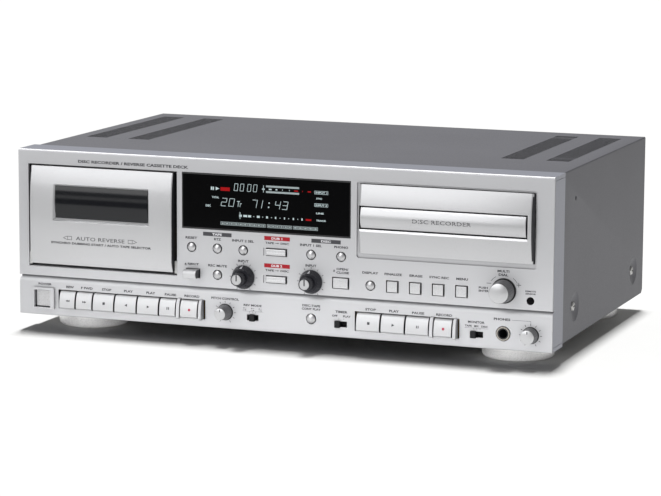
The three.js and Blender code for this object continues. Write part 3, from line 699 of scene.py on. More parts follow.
def front_panel():
    profile = [(PANEL_DEPTH, 0), (PANEL_DEPTH, PANEL_HEIGHT)]
    profile += arc((TOP_ROUND, PANEL_HEIGHT - TOP_ROUND), TOP_ROUND, 90, 180, 6)
    profile += [(0, GROOVE_TOP), (GROOVE_DEPTH, GROOVE_TOP)]
    profile += arc((GROOVE_DEPTH, STRIP_TOP), (GROOVE_DEPTH, GROOVE_FLOOR - STRIP_TOP), 90, 180, 14)
    profile += arc((LOW_ROUND, LOW_ROUND), LOW_ROUND, 180, 270, 4)
    rib = GROOVE_DEPTH + WALL
    top = PANEL_HEIGHT - WALL
    hollow = [(WALL, WALL), (40, WALL), (40, top), (WALL, top)]
    hollow += [(WALL, 35), (rib, 34), (rib, 24), (WALL, 23)]
    recess = shape_y(rounded(*BEZEL_RECESS, 2), (-1, RECESS_DEPTH))
    behind = box(grown(BEZEL["x"], FIT), THROUGH, grown(BEZEL["z"], FIT))
    seams, uprights = [], []
    for side in (-HALF_WIDTH, HALF_WIDTH):
        edge = around(side, SEAM_DEPTH)
        seams += [box(edge, (SEAM[1] - 0.1, PANEL_DEPTH + 1), (z, z + 0.4)) for z in (3, 127.2)]
        uprights.append(box(edge, SEAM, (-1, PANEL_HEIGHT + 1)))
    inside = shape_x(hollow, around(0, HALF_WIDTH - WALL))
    across = box(around(0, HALF_WIDTH + 1), SEAM, (PANEL_HEIGHT - SEAM_DEPTH, PANEL_HEIGHT + 1))
    shell = shape_x(profile, around(0, HALF_WIDTH))
    panel = piece(
        "front_panel_shell", [shell], PANEL_SILVER, bevel=0.22, segments=2,
        cutters=([inside], panel_openings(), [recess], [behind], seams, uprights, [across]),
        stands_for="front_panel", ends=PAINTED_SHADE_SIDES, is_end=is_hole_wall,
    )
    # The faces behind the seams take the darker silver, which is painted shade.
    panel.data.materials.append(PAINTED_SHADE_PANEL_ENDS)
    for face in panel.data.polygons:
        spot = PLACE.inverted() @ face.center
        outside = abs(spot.x) > HALF_WIDTH - 0.5 or not 0.5 < spot.z < PANEL_HEIGHT - 0.5
        if outside and spot.y > SEAM[1] - 0.1:
            face.material_index = 2


def is_hole_wall(face):
    """Whether a face of the panel is the wall of a button's, knob's or key's opening; these walls take
    painted shade.
    """
    spot = PLACE.inverted() @ face.center
    if abs(face.normal.y) > 0.5 or spot.y > WALL + 0.6:
        return False
    at_door = spot.x < DOOR_OPENING[0][1] + 0.5 and spot.z > DOOR_SIDE_LOW
    if spot.z > BUTTONS_TOP or at_door or spot.z <= 1:
        return False
    in_groove = STRIP_TOP - 1 < spot.z < GROOVE_TOP + 1
    return abs(spot.x) < HALF_WIDTH - 1 and not in_groove


def key_profile(z, foot=KEY_REACH, back=9.0):
    """The side of a key: flat at the back, with its face leaning out towards its lower edge."""
    face = curve((-1.0, z[1]), (-foot, z[1] - 3), (-foot, z[0] + 1))
    return [(back, z[0]), (back, z[1])] + face + [(-foot + 1, z[0])]


def power_frame():
    hole = box(POWER_HOLE[0], (-5, 2), POWER_HOLE[1])
    rim = shape_y(rounded(*POWER_FRAME, 0.8, 3), (-2.5, 0.0))
    piece("power_frame", [rim], PANEL_SILVER, cutters=([hole],), bevel=0.5)
    piece("key_fins", [shape_x(key_profile(FIN_Z, back=2), x) for x in FINS], PANEL_SILVER, bevel=0.3)


def top_cover():
    half = COVER_HALF
    outer = [(-half, 1), (-half, COVER_TOP - 1)] + arc((-half + 1, COVER_TOP - 1), 1, 180, 90, 4)
    outer += arc((half - 1, COVER_TOP - 1), 1, 90, 0, 4) + [(half, 1)]
    inner = half - COVER_SHEET
    under = COVER_TOP - COVER_SHEET
    outer += [(inner, 1), (inner, under), (-inner, under), (-inner, 1)]
    front, rear = VENTS["y"]
    starts = [front + i * VENT_PITCH for i in range(int((rear - front) / VENT_PITCH))]
    through = (COVER_TOP - 3, COVER_TOP + 1)
    slots = [box(x, (start, start + VENT_SLOT), through) for x in VENTS["x"] for start in starts]
    holes, dishes, heads = [], [], []
    for side in (-1, 1):
        wall = sorted((side * (half - 3), side * (half + 1)))
        for spot in SIDE_SCREWS:
            holes.append(disc(DIMPLE_R, spot, wall, axis="x"))
            dish = [(0, 213.9), (5, 213.9), (DIMPLE_R + 0.02, half)]
            dish += [(DIMPLE_R + 0.02, 214.6), (5, 212.7), (0, 212.7)]
            dishes.append(turned([(r, side * along) for r, along in dish], spot, "x"))
            head = screw_profile(3.6, 213.8, 1.7)
            heads.append(turned([(r, side * along) for r, along in head], spot, "x", 32))
        holes.append(disc(1.7, SIDE_HOLE, wall, 24, "x"))
    corner = [(BODY_DEPTH - 4, 0), (BODY_DEPTH + 1, 0), (BODY_DEPTH + 1, 5)]
    cover = piece(
        "top_cover_shell", [shape_y(outer, (PANEL_DEPTH + FIT, BODY_DEPTH))], COVER_GREY, bevel=0.15,
        cutters=(slots, holes, [shape_x(corner, around(0, half + 1))]), stands_for="top_cover",
    )
    # The upright walls of the vent slots take the near-black, which is painted shade.
    cover.data.materials.append(PAINTED_SHADE_VENT_WALLS)
    for face in cover.data.polygons:
        spot = PLACE.inverted() @ face.center
        is_upright = abs(face.normal.z) < 0.1 and spot.z > COVER_TOP - 1.3
        face.material_index = int(is_upright and 140 < abs(spot.x) < 207 and spot.y < VENTS_REAR)
    piece("cover_dimples", dishes, COVER_GREY, bevel=0.3)
    crosses = [cross(y, z, side * 215.2) for side in (-1, 1) for y, z in SIDE_SCREWS]
    piece("cover_screws", heads, SCREW_STEEL, cutters=zip(*crosses))


def screw_profile(r, base, height):
    """A pan head as (radius, distance) points, from its top's middle to its base's middle."""
    top = base + height
    crown = [(0, top), (r * 0.5, top - height * 0.06), (r * 0.85, top - height * 0.3)]
    return crown + [(r, base + height * 0.2), (r, base), (0, base)]


def cross(y, z, x):
    """Two crossed slots in a screw head that looks along x."""
    return [box(around(x, 0.8), around(y, a), around(z, b)) for a, b in ((2, 0.45), (0.45, 2))]


def feet():
    low = -FOOT_HEIGHT
    middle = FOOT_R - 9
    profile = [(0, low + 1.5), (middle, low + 1.5), (middle, low + 0.4)]
    profile += arc((FOOT_R - FOOT_EDGE, low + FOOT_EDGE), FOOT_EDGE, -90, 0, 8)
    profile += [(FOOT_R, -FIT), (0, -FIT)]
    pad_r = middle - 0.2
    pad = [(0, low), (middle - 1, low), (pad_r, low + 0.8), (pad_r, low + 1.3), (0, low + 1.3)]
    for name, spot in FEET.items():
        piece(f"{name}_turned", [turned(profile, spot, "z", 96)], FOOT_METAL, stands_for=name, bevel=0.1)
        piece(f"{name}_pad", [turned(pad, spot, "z")], RUBBER)


# ---- Cassette side ----
def cassette_door():
    low, high = DOOR["z"]
    back, face_y = DOOR["back"], DOOR["face"]
    face = curve((-0.8, high), (-2.4, 112), (-3.4, 104), 6)
    face += curve((-3.4, 104), (face_y, 94), (face_y, 80), 8)[1:]
    profile = [(back, low), (back, high)] + face + [(face_y, 48.5), (-1.6, low)]
    hollow = box(grown(DOOR["x"], -2.5), (1.6, 8), (45.5, high - 2.5))
    inner = (grown(WINDOW[0], -1.5), grown(WINDOW[1], -2.2))
    outer = (grown(WINDOW[0], 1.6), grown(WINDOW[1], 2.3))
    hole = box(inner[0], (-10, 8), inner[1])
    corners = ((0, 0), (1, 0), (1, 1), (0, 1))
    rings = [[(edge[0][i], y, edge[1][j]) for i, j in corners] for edge, y in ((outer, -6.8), (inner, -2))]
    pins = []
    for side, out in ((DOOR["x"][0], -2.4), (DOOR["x"][1], 2.4)):
        pins.append(shape_x(arc(HINGE, 1.2, 0, 337.5, 15), sorted((side - out / 2, side + out))))
    piece(
        "cassette_door_shell", [rolled(profile, DOOR["x"], 0.9)], TRIM_SILVER, DOOR_BODY,
        stands_for="cassette_door", cutters=([hollow], [hole], [prism(rings)]), bevel=0.3, ends=PAINTED_SHADE_SIDES,
    )
    piece("cassette_door_pins", pins, ZINC, DOOR_BODY, bevel=0.15)
    low, high = grown(inner[1], -0.15)
    front = curve((-1.9, high), (-4.1, (low + high) / 2), (-1.9, low), 20)
    pane = shape_x([(0.6, low), (0.6, high)] + front, grown(inner[0], -0.15))
    piece("cassette_window_pane", [pane], SMOKED, DOOR_BODY, stands_for="cassette_window", bevel=0.1)
    opening_x, opening_z = DOOR_OPENING
    sill = box(opening_x, (0.4, 14), (opening_z[0] + 0.02, opening_z[0] + 0.3))
    piece("door_sill", [sill], PANEL_SILVER)
    guide = [box((-184, -107), (1.4, 2.2), z) for z in ((78, 79.2), (101.4, 102.6))]
    piece("window_frame", guide, DARK_PLASTIC, DOOR_BODY, bevel=0.2)
    parts = words(DOOR_WORDS, face_y)
    middle = DOOR_WORDS[0][0]
    for x, way in DOOR_ARROWS:
        corner, tip = x + way * 1.9, x + way * 5.4
        parts += [stroke((corner, middle + rise), (tip, middle), SIGN_LINE, face_y) for rise in (-1.5, 1.5)]
        parts += outline_bars(sorted((x - way * 1.9, corner)), around(middle, 1.5), SIGN_LINE, face_y)
    piece("door_legends", parts, LEGEND_GREY, DOOR_BODY)


# ---- Display ----
def display():
    x, z = (grown(span, -0.3) for span in DISPLAY)
    pane = shape_y(rounded(x, z, 0.5, 2), (DISPLAY_FACE, 2.2))
    piece("display_pane", [pane], DISPLAY_BLACK, stands_for="display_window", bevel=0.15)
    inner_z = grown(z, -1)
    ring = [(x, (inner_z[1], z[1])), (x, (z[0], inner_z[0]))]
    ring += [((x[0], x[0] + 0.5), inner_z), ((x[1] - 0.5, x[1]), inner_z)]
    piece("display_frame", bars(ring, DISPLAY_FACE, 0.03), BLACK_PLASTIC)


# ---- Disc side ----
def bulged(z, edge, bulge, back):
    """A profile whose face bulges forward in one even curve."""
    pull = (edge - 2 * bulge, (z[0] + z[1]) / 2)
    return [(back, z[0]), (back, z[1])] + curve((-edge, z[1]), pull, (-edge, z[0]), 24)


def tray_face(z):
    """How far forward the tray's face is at a height."""
    low, high = TRAY_FRONT["z"]
    t = (high - z) / (high - low)
    edge, bulge = TRAY_FRONT["edge"], TRAY_FRONT["bulge"]
    return -edge * ((1 - t) ** 2 + t * t) + (edge - 2 * bulge) * 2 * t * (1 - t)


def is_bezel_end(face):
    """Whether a face of the bezel is its right end or a wall of the tray's slot; these faces take painted
    shade.
    """
    return face.normal.x > 0.5 or (abs(face.normal.y) < 0.04 and face.area < 0.003)


def disc_side():
    bulge = BEZEL["bulge"]
    x, (low, high) = TRAY_SLOT
    lips = [(1, low), (1.4 - bulge, low - 0.1), (-bulge - 1, low - 4)]
    lips += [(-bulge - 1, high + 3.2), (0.8 - bulge, high + 0.1), (1, high)]
    bezel = rolled(bulged(BEZEL["z"], 1, bulge, WALL), BEZEL["x"], 2.6)
    slot = box(x, (-10, 10), (low, high))
    piece(
        "disc_bezel_shell", [bezel], TRIM_SILVER, bevel=0.2, stands_for="disc_bezel",
        cutters=([slot], [shape_x(lips, x)]), ends=PAINTED_SHADE_SIDES, is_end=is_bezel_end,
    )
    front = bulged(TRAY_FRONT["z"], TRAY_FRONT["edge"], TRAY_FRONT["bulge"], 3.4)
    piece(
        "tray_front_bar", [rolled(front, TRAY_FRONT["x"], 0.6)], TRIM_SILVER, "tray_body", bevel=0.4,
        stands_for="tray_front", ends=PAINTED_SHADE_SIDES,
    )
    piece("tray_legend", words(TRAY_WORDS, tray_face), LEGEND_GREY, "tray_body")
    liner = [box(x, LINER_Y, (low - 2, low - 0.3)), box(x, LINER_Y, (high + 0.3, high + 2))]
    liner += [box(sides, LINER_Y, (low - 2, high + 2)) for sides in ((64.5, 67.3), (198.5, 201.3))]
    piece("tray_slot_liner", liner, BLACK_PLASTIC, bevel=0.2)


# ---- Buttons, keys and knobs ----
def cap(name, part, material, **more):
    """The cap of a control, which stands for its CAD node and rides its body."""
    piece(f"{name}_cap", [part], material, f"{name}_body", stands_for=name, **more)


def buttons():
    stem = WALL + 1.5
    domes = [(name, spot, 3.2, 3.8) for name, spot in ROUND_BUTTONS.items()]
    domes.append(("continuous_play_button", CONTINUOUS_PLAY, 3.5, 4))
    for name, spot, r, hole in domes:
        profile = [(0, -1.75)] + [(r * step / 8, -1.75 + 1.15 * (step / 8) ** 2.4) for step in range(1, 9)]
        profile += [(r, WALL + 0.5), (hole + 0.8, WALL + 0.5), (hole + 0.8, stem), (0, stem)]
        cap(name, turned(profile, spot, steps=48), BUTTON_SILVER)
    for name, (x, z, reach) in FLAT_BUTTONS.items():
        edge, middle = -reach + 0.25, sum(z) / 2
        if name in DUB_BUTTONS:
            crown = curve((edge, z[1]), (-reach - 0.2, z[1] - 1), (edge, middle), 6)
            crown += curve((edge, middle), (-reach - 0.2, z[0] + 1), (edge, z[0]), 6)[1:]
        else:
            crown = curve((edge, z[1]), (-reach - 0.25, middle), (edge, z[0]), 10)
        cap(name, shape_x([(stem, z[0]), (stem, z[1])] + crown, x), CAP_BRIGHT, bevel=0.3, ends=PAINTED_SHADE_SIDES)
    low, high = EJECT["z"]
    reach = EJECT["reach"]
    face = curve((-reach + 2.4, high), (-reach, high - 0.4), (-reach, low + 2.6), 8)
    profile = [(6, low), (6, high)] + face + [(-reach + 1, low)]
    cap("eject_button", shape_x(profile, EJECT["x"]), KEY_SILVER, bevel=0.4, ends=PAINTED_SHADE_SIDES)
    cap("power_key", shape_y(rounded(*POWER_CAP, 0.5, 3), (0.6, 9)), BUTTON_SILVER, bevel=0.8)


def keys():
    for name, x in KEYS.items():
        cap(name, shape_x(key_profile(KEY_Z), x), KEY_SILVER, bevel=0.35, ends=PAINTED_SHADE_SIDES)


# The flanks of a knob, which take the painted shade.
def is_side(face):
    return abs(face.normal.y) < 0.6


def input_knob(name, spot):
    """Two knobs on one axis: a fluted ring with a pointer, and a cap with a bright face."""
    x, z = spot
    outer = [(3.5, -7), (6.8, -7), (7.2, -6.6), (9.3, -1.2), (9.3, -0.5)]
    outer += [(4.6, -0.5), (4.6, 8), (3.5, 8), (3.5, -7)]
    inner = [(0, -14.4), (4.2, -14.4), (4.2, -15), (4.6, -14.8), (4.85, -14.2), (5, -10), (5.5, -7.5)]
    inner += [(3.1, -7.5), (3.1, 10), (0, 10)]
    outer_body, inner_body = f"{name}_outer_body", f"{name}_inner_body"

    def flank(height):
        """The ring's flank above its middle."""
        return -6.6 + (height - z - 7.2) / 2.1 * 5.4

    ring = turned(outer, spot, steps=80, flute=0.03)
    core = turned(inner, spot, flute=0.04)
    piece(f"{name}_ring", [ring], KNOB_DARK, outer_body, stands_for=f"{name}_outer", angle=12)
    pointer = sign([(x - 0.9, z + 7.3), (x + 0.9, z + 7.3), (x, z + 9.1)], flank, 0.3)
    piece(f"{name}_ring_pointer", [pointer], LABEL_WHITE, outer_body)
    piece(f"{name}_cap", [core], KNOB_DARK, inner_body, stands_for=f"{name}_inner")
    face = turned([(0, KNOB_FACE), (3.8, KNOB_FACE), (4.1, -14.55), (4.1, -14.3), (0, -14.3)], spot)
    piece(f"{name}_cap_face", [face], KNOB_SILVER, inner_body)
    mark = bar(around(x, 0.5), (z - 1, z + 3.8), KNOB_FACE)
    piece(f"{name}_cap_pointer", [mark], KEY_PRINT, inner_body)


def knobs():
    for name, spot in INPUT_KNOBS.items():
        input_knob(name, spot)
    dial = [(0, -13.5), (6.9, -13.5), (7.3, -13.3), (7.55, -12.9), (7.7, -12.4), (8.6, -1.6)]
    dial += [(3.4, -1.6), (3.4, -8.4), (0, -8.4)]
    piece(
        "multi_dial_cap", [turned(dial, DIAL, steps=96)], KNOB_SILVER, "dial_body", stands_for="multi_dial",
        ends=PAINTED_SHADE_KNOB_FLANK, is_end=is_side,
    )
    collar = [(3.6, -0.6), (9.3, -0.6), (9.5, -0.3), (9.5, -0.02), (3.6, -0.02), (3.6, -0.6)]
    piece("multi_dial_collar", [turned(collar, DIAL)], BLACK_PLASTIC)
    for name, (spot, nose, reach) in SMALL_KNOBS.items():
        profile = [(0, -reach), (nose - 0.5, -reach), (nose - 0.1, -reach + 0.2), (nose, -reach + 0.6)]
        profile += [(5.9, -0.9), (2.6, -0.9), (2.6, 8), (0, 8)]
        cap(name, turned(profile, spot), KNOB_SILVER, ends=PAINTED_SHADE_KNOB_FLANK, is_end=is_side)
        tip = spot[1] + nose
        mark = bar(around(spot[0], 0.4), (tip - 2.8, tip - 0.7), -reach)
        piece(f"{name}_pointer", [mark], KEY_PRINT, f"{name}_body")
        collar = [(2.8, -0.5), (6.3, -0.5), (6.5, -0.02), (2.8, -0.02), (2.8, -0.5)]
        piece(f"{name}_collar", [turned(collar, spot)], BLACK_PLASTIC)


def small_fittings():
    """The remote lens, the headphone socket's rings, the switches' grips and their black slots."""
    lens = [(0, -0.3), (2.2, -0.25), (2.8, 0.1), (2.8, 3.4), (0, 3.4)]
    piece("remote_lens", [turned(lens, SENSOR, steps=40)], DISPLAY_BLACK)
    ring = [(4.3, -0.8), (5.0, -0.8), (5.2, -0.5), (5.2, -0.3), (4.8, 4), (4.3, 4), (4.3, -0.8)]
    barrel = [(0, 22), (3.4, 22), (3.4, -0.5), (4.2, -0.5), (4.2, 24), (0, 24)]
    piece("phones_ring", [turned(ring, PHONES)], SOCKET_METAL)
    piece("phones_barrel", [turned(barrel, PHONES)], BLACK_PLASTIC, stands_for="phones_jack")
    low, high = SWITCH_Z
    liner_y = (-0.02, WALL + 0.4)
    liners = []
    for name, (x, rest) in SWITCH_SLOTS.items():
        liners += [box(side, liner_y, SWITCH_Z) for side in ((x[0], x[0] + 0.15), (x[1] - 0.15, x[1]))]
        liners += [box(x, liner_y, z) for z in ((low - 0.05, low + 0.1), (high - 0.1, high + 0.05))]
        grip = box(around(rest, 2.2), (-2.6, -0.4), grown(SWITCH_Z, 0.5))
        piece(f"{name}_grip", [grip], GRIP_BLACK, f"{name}_body", bevel=0.5)
    piece("switch_slot_liners", liners, BLACK_PLASTIC)


# ---- Rear ----
def rear():
    half = COVER_HALF - COVER_SHEET - FIT
    y = (REAR_FACE - 1.2, REAR_FACE)
    reach = grown(y, 1)
    spots = [(x, z) for x in SOCKETS["x"] for z in SOCKETS["z"]]
    holes = [disc(SOCKETS["r"], spot, reach, 48) for spot in spots]
    inlet_x = around(INLET["x"], INLET["width"] / 2 + FIT)
    inlet_z = around(INLET["z"], INLET["height"] / 2 + FIT)
    holes.append(box(inlet_x, reach, inlet_z))
    for low in (58, 84):
        for x in range(-112, -28, 6):
            holes.append(shape_y(rounded((x, x + 2.4), (low, low + 20), 1.1, 4), reach))
    sheet = box(around(0, half), y, (0, COVER_TOP - COVER_SHEET - FIT))
    piece("rear_sheet", [sheet], ZINC, stands_for="rear_panel", cutters=(holes,), bevel=0.2)
    height = 0.95
    heads = [turned(screw_profile(3.1, REAR_FACE, height), spot, steps=32) for spot in REAR_SCREWS]
    slot_y = around(REAR_FACE + height, 0.45)
    slots = [
        [box(around(x, a), slot_y, around(z, b)) for x, z in REAR_SCREWS]
        for a, b in ((1.7, 0.35), (0.35, 1.7))
    ]
    piece("rear_screws", heads, SCREW_STEEL, cutters=slots)
    for z, colour, material in zip(SOCKETS["z"], ("red", "white"), (SOCKET_RED, SOCKET_WHITE)):
        ring = [(3.3, 271.2), (4.1, 271.2), (4.2, 270.9), (4.2, 261), (3.3, 261), (3.3, 271.2)]
        core = [(1.5, 270), (3.2, 270), (3.2, 261.5), (1.5, 261.5), (1.5, 270)]
        piece(f"signal_socket_rings_{colour}", [turned(ring, (x, z)) for x in SOCKETS["x"]], NICKEL)
        piece(f"signal_socket_cores_{colour}", [turned(core, (x, z)) for x in SOCKETS["x"]], material)
    wells = [disc(4.5, spot, (260, 270), 32) for spot in spots]
    block = box((12, 100), (255, 268.8), (62, 98))
    piece("signal_socket_block", [block], BLACK_PLASTIC, cutters=(wells,), bevel=0.6)
    rim = rounded(around(INLET["x"], 20), around(INLET["z"], 9.5), 3)
    gap = box(grown(inlet_x, 0.1), (268, 273), grown(inlet_z, 0.1))
    flange = shape_y(rim, (REAR_FACE + 0.05, 271.2))
    piece("inlet_flange", [flange], BLACK_PLASTIC, cutters=([gap],), bevel=0.2)
    pin = [(0, 268.4), (0.7, 268.2), (1.15, 267.4), (1.15, 259), (0, 259)]
    pins = [turned(pin, (x, INLET["z"]), steps=24) for x in around(INLET["x"], INLET["pin_gap"])]
    piece("inlet_pins", pins, NICKEL)
    piece("rear_legends", words(REAR_WORDS, REAR_FACE, way=1), LEGEND_GREY)


# ---- Inside ----
def upright_parts(spots, r, z):
    """Capacitors or posts standing up, with a small rounded top."""
    profile = [(0, z[1]), (r - 0.6, z[1]), (r, z[1] - 0.6), (r, z[0]), (0, z[0])]
    return [turned(profile, spot, "z", 32) for spot in spots]


def boards():
    """The main board, the supply board and the boards behind the buttons and keys, with their parts."""
    piece("main_board", [box((-60, 205), (70, 250), BOARD_Z)], PCB_GREEN, bevel=0.1)
    piece("supply_board", [box((-205, -75), (90, 160), BOARD_Z)], PCB_TAN, bevel=0.1)
    spots = [(x, y) for x in (-55, 70, 200) for y in (76, 244)]
    spots += [(x, y) for y in (95, 155) for x in (-200, -80)]
    piece("board_posts", upright_parts(spots, 3, (1.6, BOARD_Z[0])), ZINC)
    key_boards = [box((-85, 212), KEY_BOARD_Y, (34, 73)), box((-185, 212), KEY_BOARD_Y, (4, 30))]
    jack_hole = disc(4.6, PHONES, grown(KEY_BOARD_Y, 1))
    piece("control_boards", key_boards, PCB_TAN, bevel=0.1, cutters=([jack_hole],))
    chips, legs = [], []
    for x, y, width, depth in CHIPS:
        chips.append(box((x, x + width), (y, y + depth), (PART_Z, 16.2)))
        if depth > NO_LEGS_DEPTH:
            for i in range(int(width / LEG_PITCH)):
                left = x + LEG_PITCH / 2 + i * LEG_PITCH
                rows = ((y - 1.4, y + 0.1), (y + depth - 0.1, y + depth + 1.4))
                legs += [box((left, left + 0.6), row, (PART_Z, 14.3)) for row in rows]
    piece("main_board_chips", chips, CHIP_BLACK, bevel=0.4)
    piece("main_board_legs", legs, NICKEL)
    small = [(x, y) for x in range(-45, 200, 22) for y in (85, 160, 232)]
    piece("main_board_capacitors", upright_parts(small, 3.2, (PART_Z, 25)), CHIP_BLACK)
    large = [(x, 105) for x in (-190, -165, -140, -115)]
    piece("supply_capacitors", upright_parts(large, 9, (PART_Z, 44)), CHIP_BLACK)
    sink_z = (PART_Z, 46)
    fins = [box((-190 + i * 6, -188.4 + i * 6), (140, 152), sink_z) for i in range(16)]
    piece("supply_heat_sink", fins + [box((-190, -98.4), (144, 147), sink_z)], ZINC, bevel=0.2)
    jacks = [box((x, x + 20), (240, 246), (PART_Z, 21)) for x in range(-40, 80, 30)]
    piece("board_connectors", jacks, SOCKET_WHITE, bevel=0.3)
    path = [(14.5, 40), (24, 38), (46, 20), (72, 16.5), (84, 13.8)]
    outline = path + [(y, z + 0.9) for y, z in reversed(path)]
    piece("ribbon_cables", [shape_x(outline, (x, x + 22)) for x in (-40, 30, 90)], RIBBON, bevel=0.1)


def transformer():
    x, y, z = TRANSFORMER
    core = [box(x, y, grown(z, -8)), box(grown(x, -12), y, z)]
    piece("transformer_core", core, CORE_STEEL, bevel=0.6)
    coil = shape_z(rounded(grown(x, -14), grown(y, 7), 6), grown(z, -9))
    piece("transformer_coil", [coil], COPPER, bevel=1.5)
    bars_y = ((y[0] - 9, y[0] + 4), (y[1] - 4, y[1] + 9))
    piece("transformer_feet", [box(grown(x, 2.5), edge, (1.6, 4)) for edge in bars_y], ZINC, bevel=0.4)


def tape_mechanism():
    """Heads and rollers in front of the mechanism's plate; flywheels and the motor behind it."""
    middle = REELS_X
    wide = around(middle, 34)
    bridge = [box(wide, (9.5, 25.6), (43.2, 45.4)), box(wide, (24, 25.8), (43.2, 50.6))]
    piece("head_bridge", bridge, ZINC, bevel=0.3)
    head = [(9.8, 45.5), (21.5, 45.5), (21.5, 49.2), (18, 50.6), (13, 50.6), (9.8, 49.2)]
    piece("tape_head", [shape_x(head, around(middle, 6.2))], NICKEL, bevel=0.4)
    gaps = [box(x, (11, 20), (50.55, 50.68)) for x in (around(middle, 0.15), (middle - 3, middle - 2.7))]
    piece("tape_head_gaps", gaps, CHIP_BLACK)
    roller = [(1.1, 11), (5.2, 11.3), (5.2, 20.2), (1.1, 20.5), (1.1, 11)]
    roller_pin = [(0, 9.8), (1, 10), (1, 25.6), (0, 25.6)]
    capstan = [(0, 12), (0.9, 12.4), (0.9, 40), (0, 40)]
    rim = [(1.2, 40.2), (20, 40.2), (21, 39.4), (21, 44), (20, 44.8), (1.2, 44.8), (1.2, 40.2)]
    rollers, pins, wheels = [], [], []
    for side in (-1, 1):
        spot = (middle + side * 25, ROLLER_Z)
        outer_x = middle + side * 33
        rollers.append(turned(roller, spot, steps=40))
        pins += [turned(roller_pin, spot, steps=20), turned(capstan, (outer_x, 52.2), steps=20)]
        wheels.append(turned(rim, (outer_x, 62), steps=72))
    piece("pinch_rollers", rollers, RUBBER)
    piece("roller_pins_and_capstans", pins, NICKEL)
    piece("flywheels", wheels, SCREW_STEEL)
    axis = (middle + 6, 101)
    motor = [(0, 27.9), (15, 27.9), (16, 28.8), (16, 50), (15, 51), (0, 51)]
    piece("tape_motor", [turned(motor, axis)], NICKEL)
    pulley = [(0, 51.1), (4, 51.1), (3.2, 52.6), (4, 54), (0, 54)]
    piece("motor_pulley", [turned(pulley, axis, steps=32)], SOCKET_METAL)
    guides = [box(around(x, 2), (22.4, 25.8), (53, 58)) for x in around(middle, 44)]
    piece("cassette_guides", guides, DARK_PLASTIC, bevel=0.5)
    washer = arc(HINGE, 2.1, 0, 337.5, 15)
    washers = [shape_x(washer, x) for x in ((-208.7, -206.7), (-84.9, -82.9))]
    piece("hinge_washers", washers, BLACK_PLASTIC, bevel=0.1)


def disc_mechanism():
    """The turntable, pickup and clamp inside the drive housing, clear of the tray's path."""
    x, y = DISC
    deck = box(around(x, 30), (y - 26, y + 76), (78, 79.6))
    hole = box(around(x, 12), (y + 18, y + 66), (77, 81))
    piece("drive_deck", [deck], ZINC, cutters=([hole],), bevel=0.4)
    table = [(0, 87.3), (4.5, 87.3), (7, 86.2), (14, 85.8), (14.5, 84.8), (9, 83), (9, 79.8), (0, 79.8)]
    piece("disc_turntable", [turned(table, DISC, "z")], DARK_PLASTIC)
    motor = [(0, 77.9), (10, 77.9), (11, 77.7), (11, 77.5), (0, 77.5)]
    piece("disc_motor", [turned(motor, DISC, "z")], NICKEL)
    rods = [disc(1.2, (rod_x, 81.2), (y + 16, y + 68), 20) for rod_x in around(x, 13.5)]
    piece("pickup_rods", rods, NICKEL)
    piece("pickup_sled", [box(around(x, 11.4), (y + 26, y + 44), (79.9, 84.6))], CHIP_BLACK, bevel=0.8)
    lens = [(0, 86.2), (1.6, 86), (2.4, 85.4), (4, 85.2), (4, 84.7), (0, 84.7)]
    piece("pickup_lens", [turned(lens, (x, y + 34), "z", 32)], SMOKED)
    piece("clamp_bridge", [box((70, 196), around(y, 9), (103.6, 104.8))], ZINC, bevel=0.3)
    puck = [(0, 103.4), (15, 103.4), (15.5, 102.9), (15.5, 99.6), (14.5, 99), (0, 99)]
    piece("disc_clamp", [turned(puck, DISC, "z")], DARK_PLASTIC)
    piece("drive_board", [box((72, 194), (196, 197.6), (78, 106))], PCB_GREEN, bevel=0.1)


def display_module():
    x, z = DISPLAY
    tube = shape_y(rounded(grown(x, -6), grown(z, -5), 2), (3.2, 8.6))
    piece("display_tube", [tube], DISPLAY_BLACK, bevel=0.6)
    piece("display_board", [box(grown(x, 1), (9.2, 10.8), (75, 121))], PCB_GREEN, bevel=0.1)


# ---- Lettering and signs ----
def depth_at(face, z):
    """The y of a face at a height; face is the y of a flat face, or a function of z."""
    return face(z) if callable(face) else face


def word(text_and_ends, middle, height, face, shear, way):
    """The raised letters of one text, stretched to its ends and its height."""
    text, left, right = text_and_ends
    font = bpy.data.curves.new("word", "FONT")
    font.body = text
    font.extrude = 0.5
    font.resolution_u = 2
    font.offset = LETTER_WEIGHT if height < THIN_LETTERS else 0
    font.shear = shear
    holder = bpy.data.objects.new("word", font)
    mesh = bpy.data.meshes.new_from_object(holder)
    bm = bmesh.new()
    bm.from_mesh(mesh)
    bmesh.ops.remove_doubles(bm, verts=bm.verts, dist=0.0002)
    low = [min(v.co[k] for v in bm.verts) for k in (0, 1)]
    high = [max(v.co[k] for v in bm.verts) for k in (0, 1)]
    verts = []
    for vert in bm.verts:
        across = (vert.co.x - low[0]) / (high[0] - low[0])
        up = (vert.co.y - low[1]) / (high[1] - low[1])
        z = middle + (up - 0.5) * height
        y = depth_at(face, z) + way * (INK if vert.co.z > 0 else -INK_ROOT)
        verts.append((left + across * (right - left), y, z))
    bm.verts.index_update()
    faces = [tuple(v.index for v in f.verts) for f in bm.faces]
    bm.free()
    bpy.data.objects.remove(holder)
    bpy.data.curves.remove(font)
    bpy.data.meshes.remove(mesh)
    return verts, faces


def words(rows, face=0, shear=0.0, way=-1):
    """Raised letters for rows of words such as PANEL_WORDS; way is the way out of the face, along y."""
    parts = []
    for middle, height, *texts in rows:
        parts += [word(text, middle, height, face, shear, way) for text in texts]
    return parts


def sign(points, face=0, ink=INK):
    """A raised flat sign of an outline of (x, z) points, laid on a face."""
    return prism([[(x, depth_at(face, z) + y, z) for x, z in points] for y in (-ink, INK_ROOT)])


def bar(x, z, face=0, ink=INK):
    return sign([(x[0], z[0]), (x[1], z[0]), (x[1], z[1]), (x[0], z[1])], face, ink)


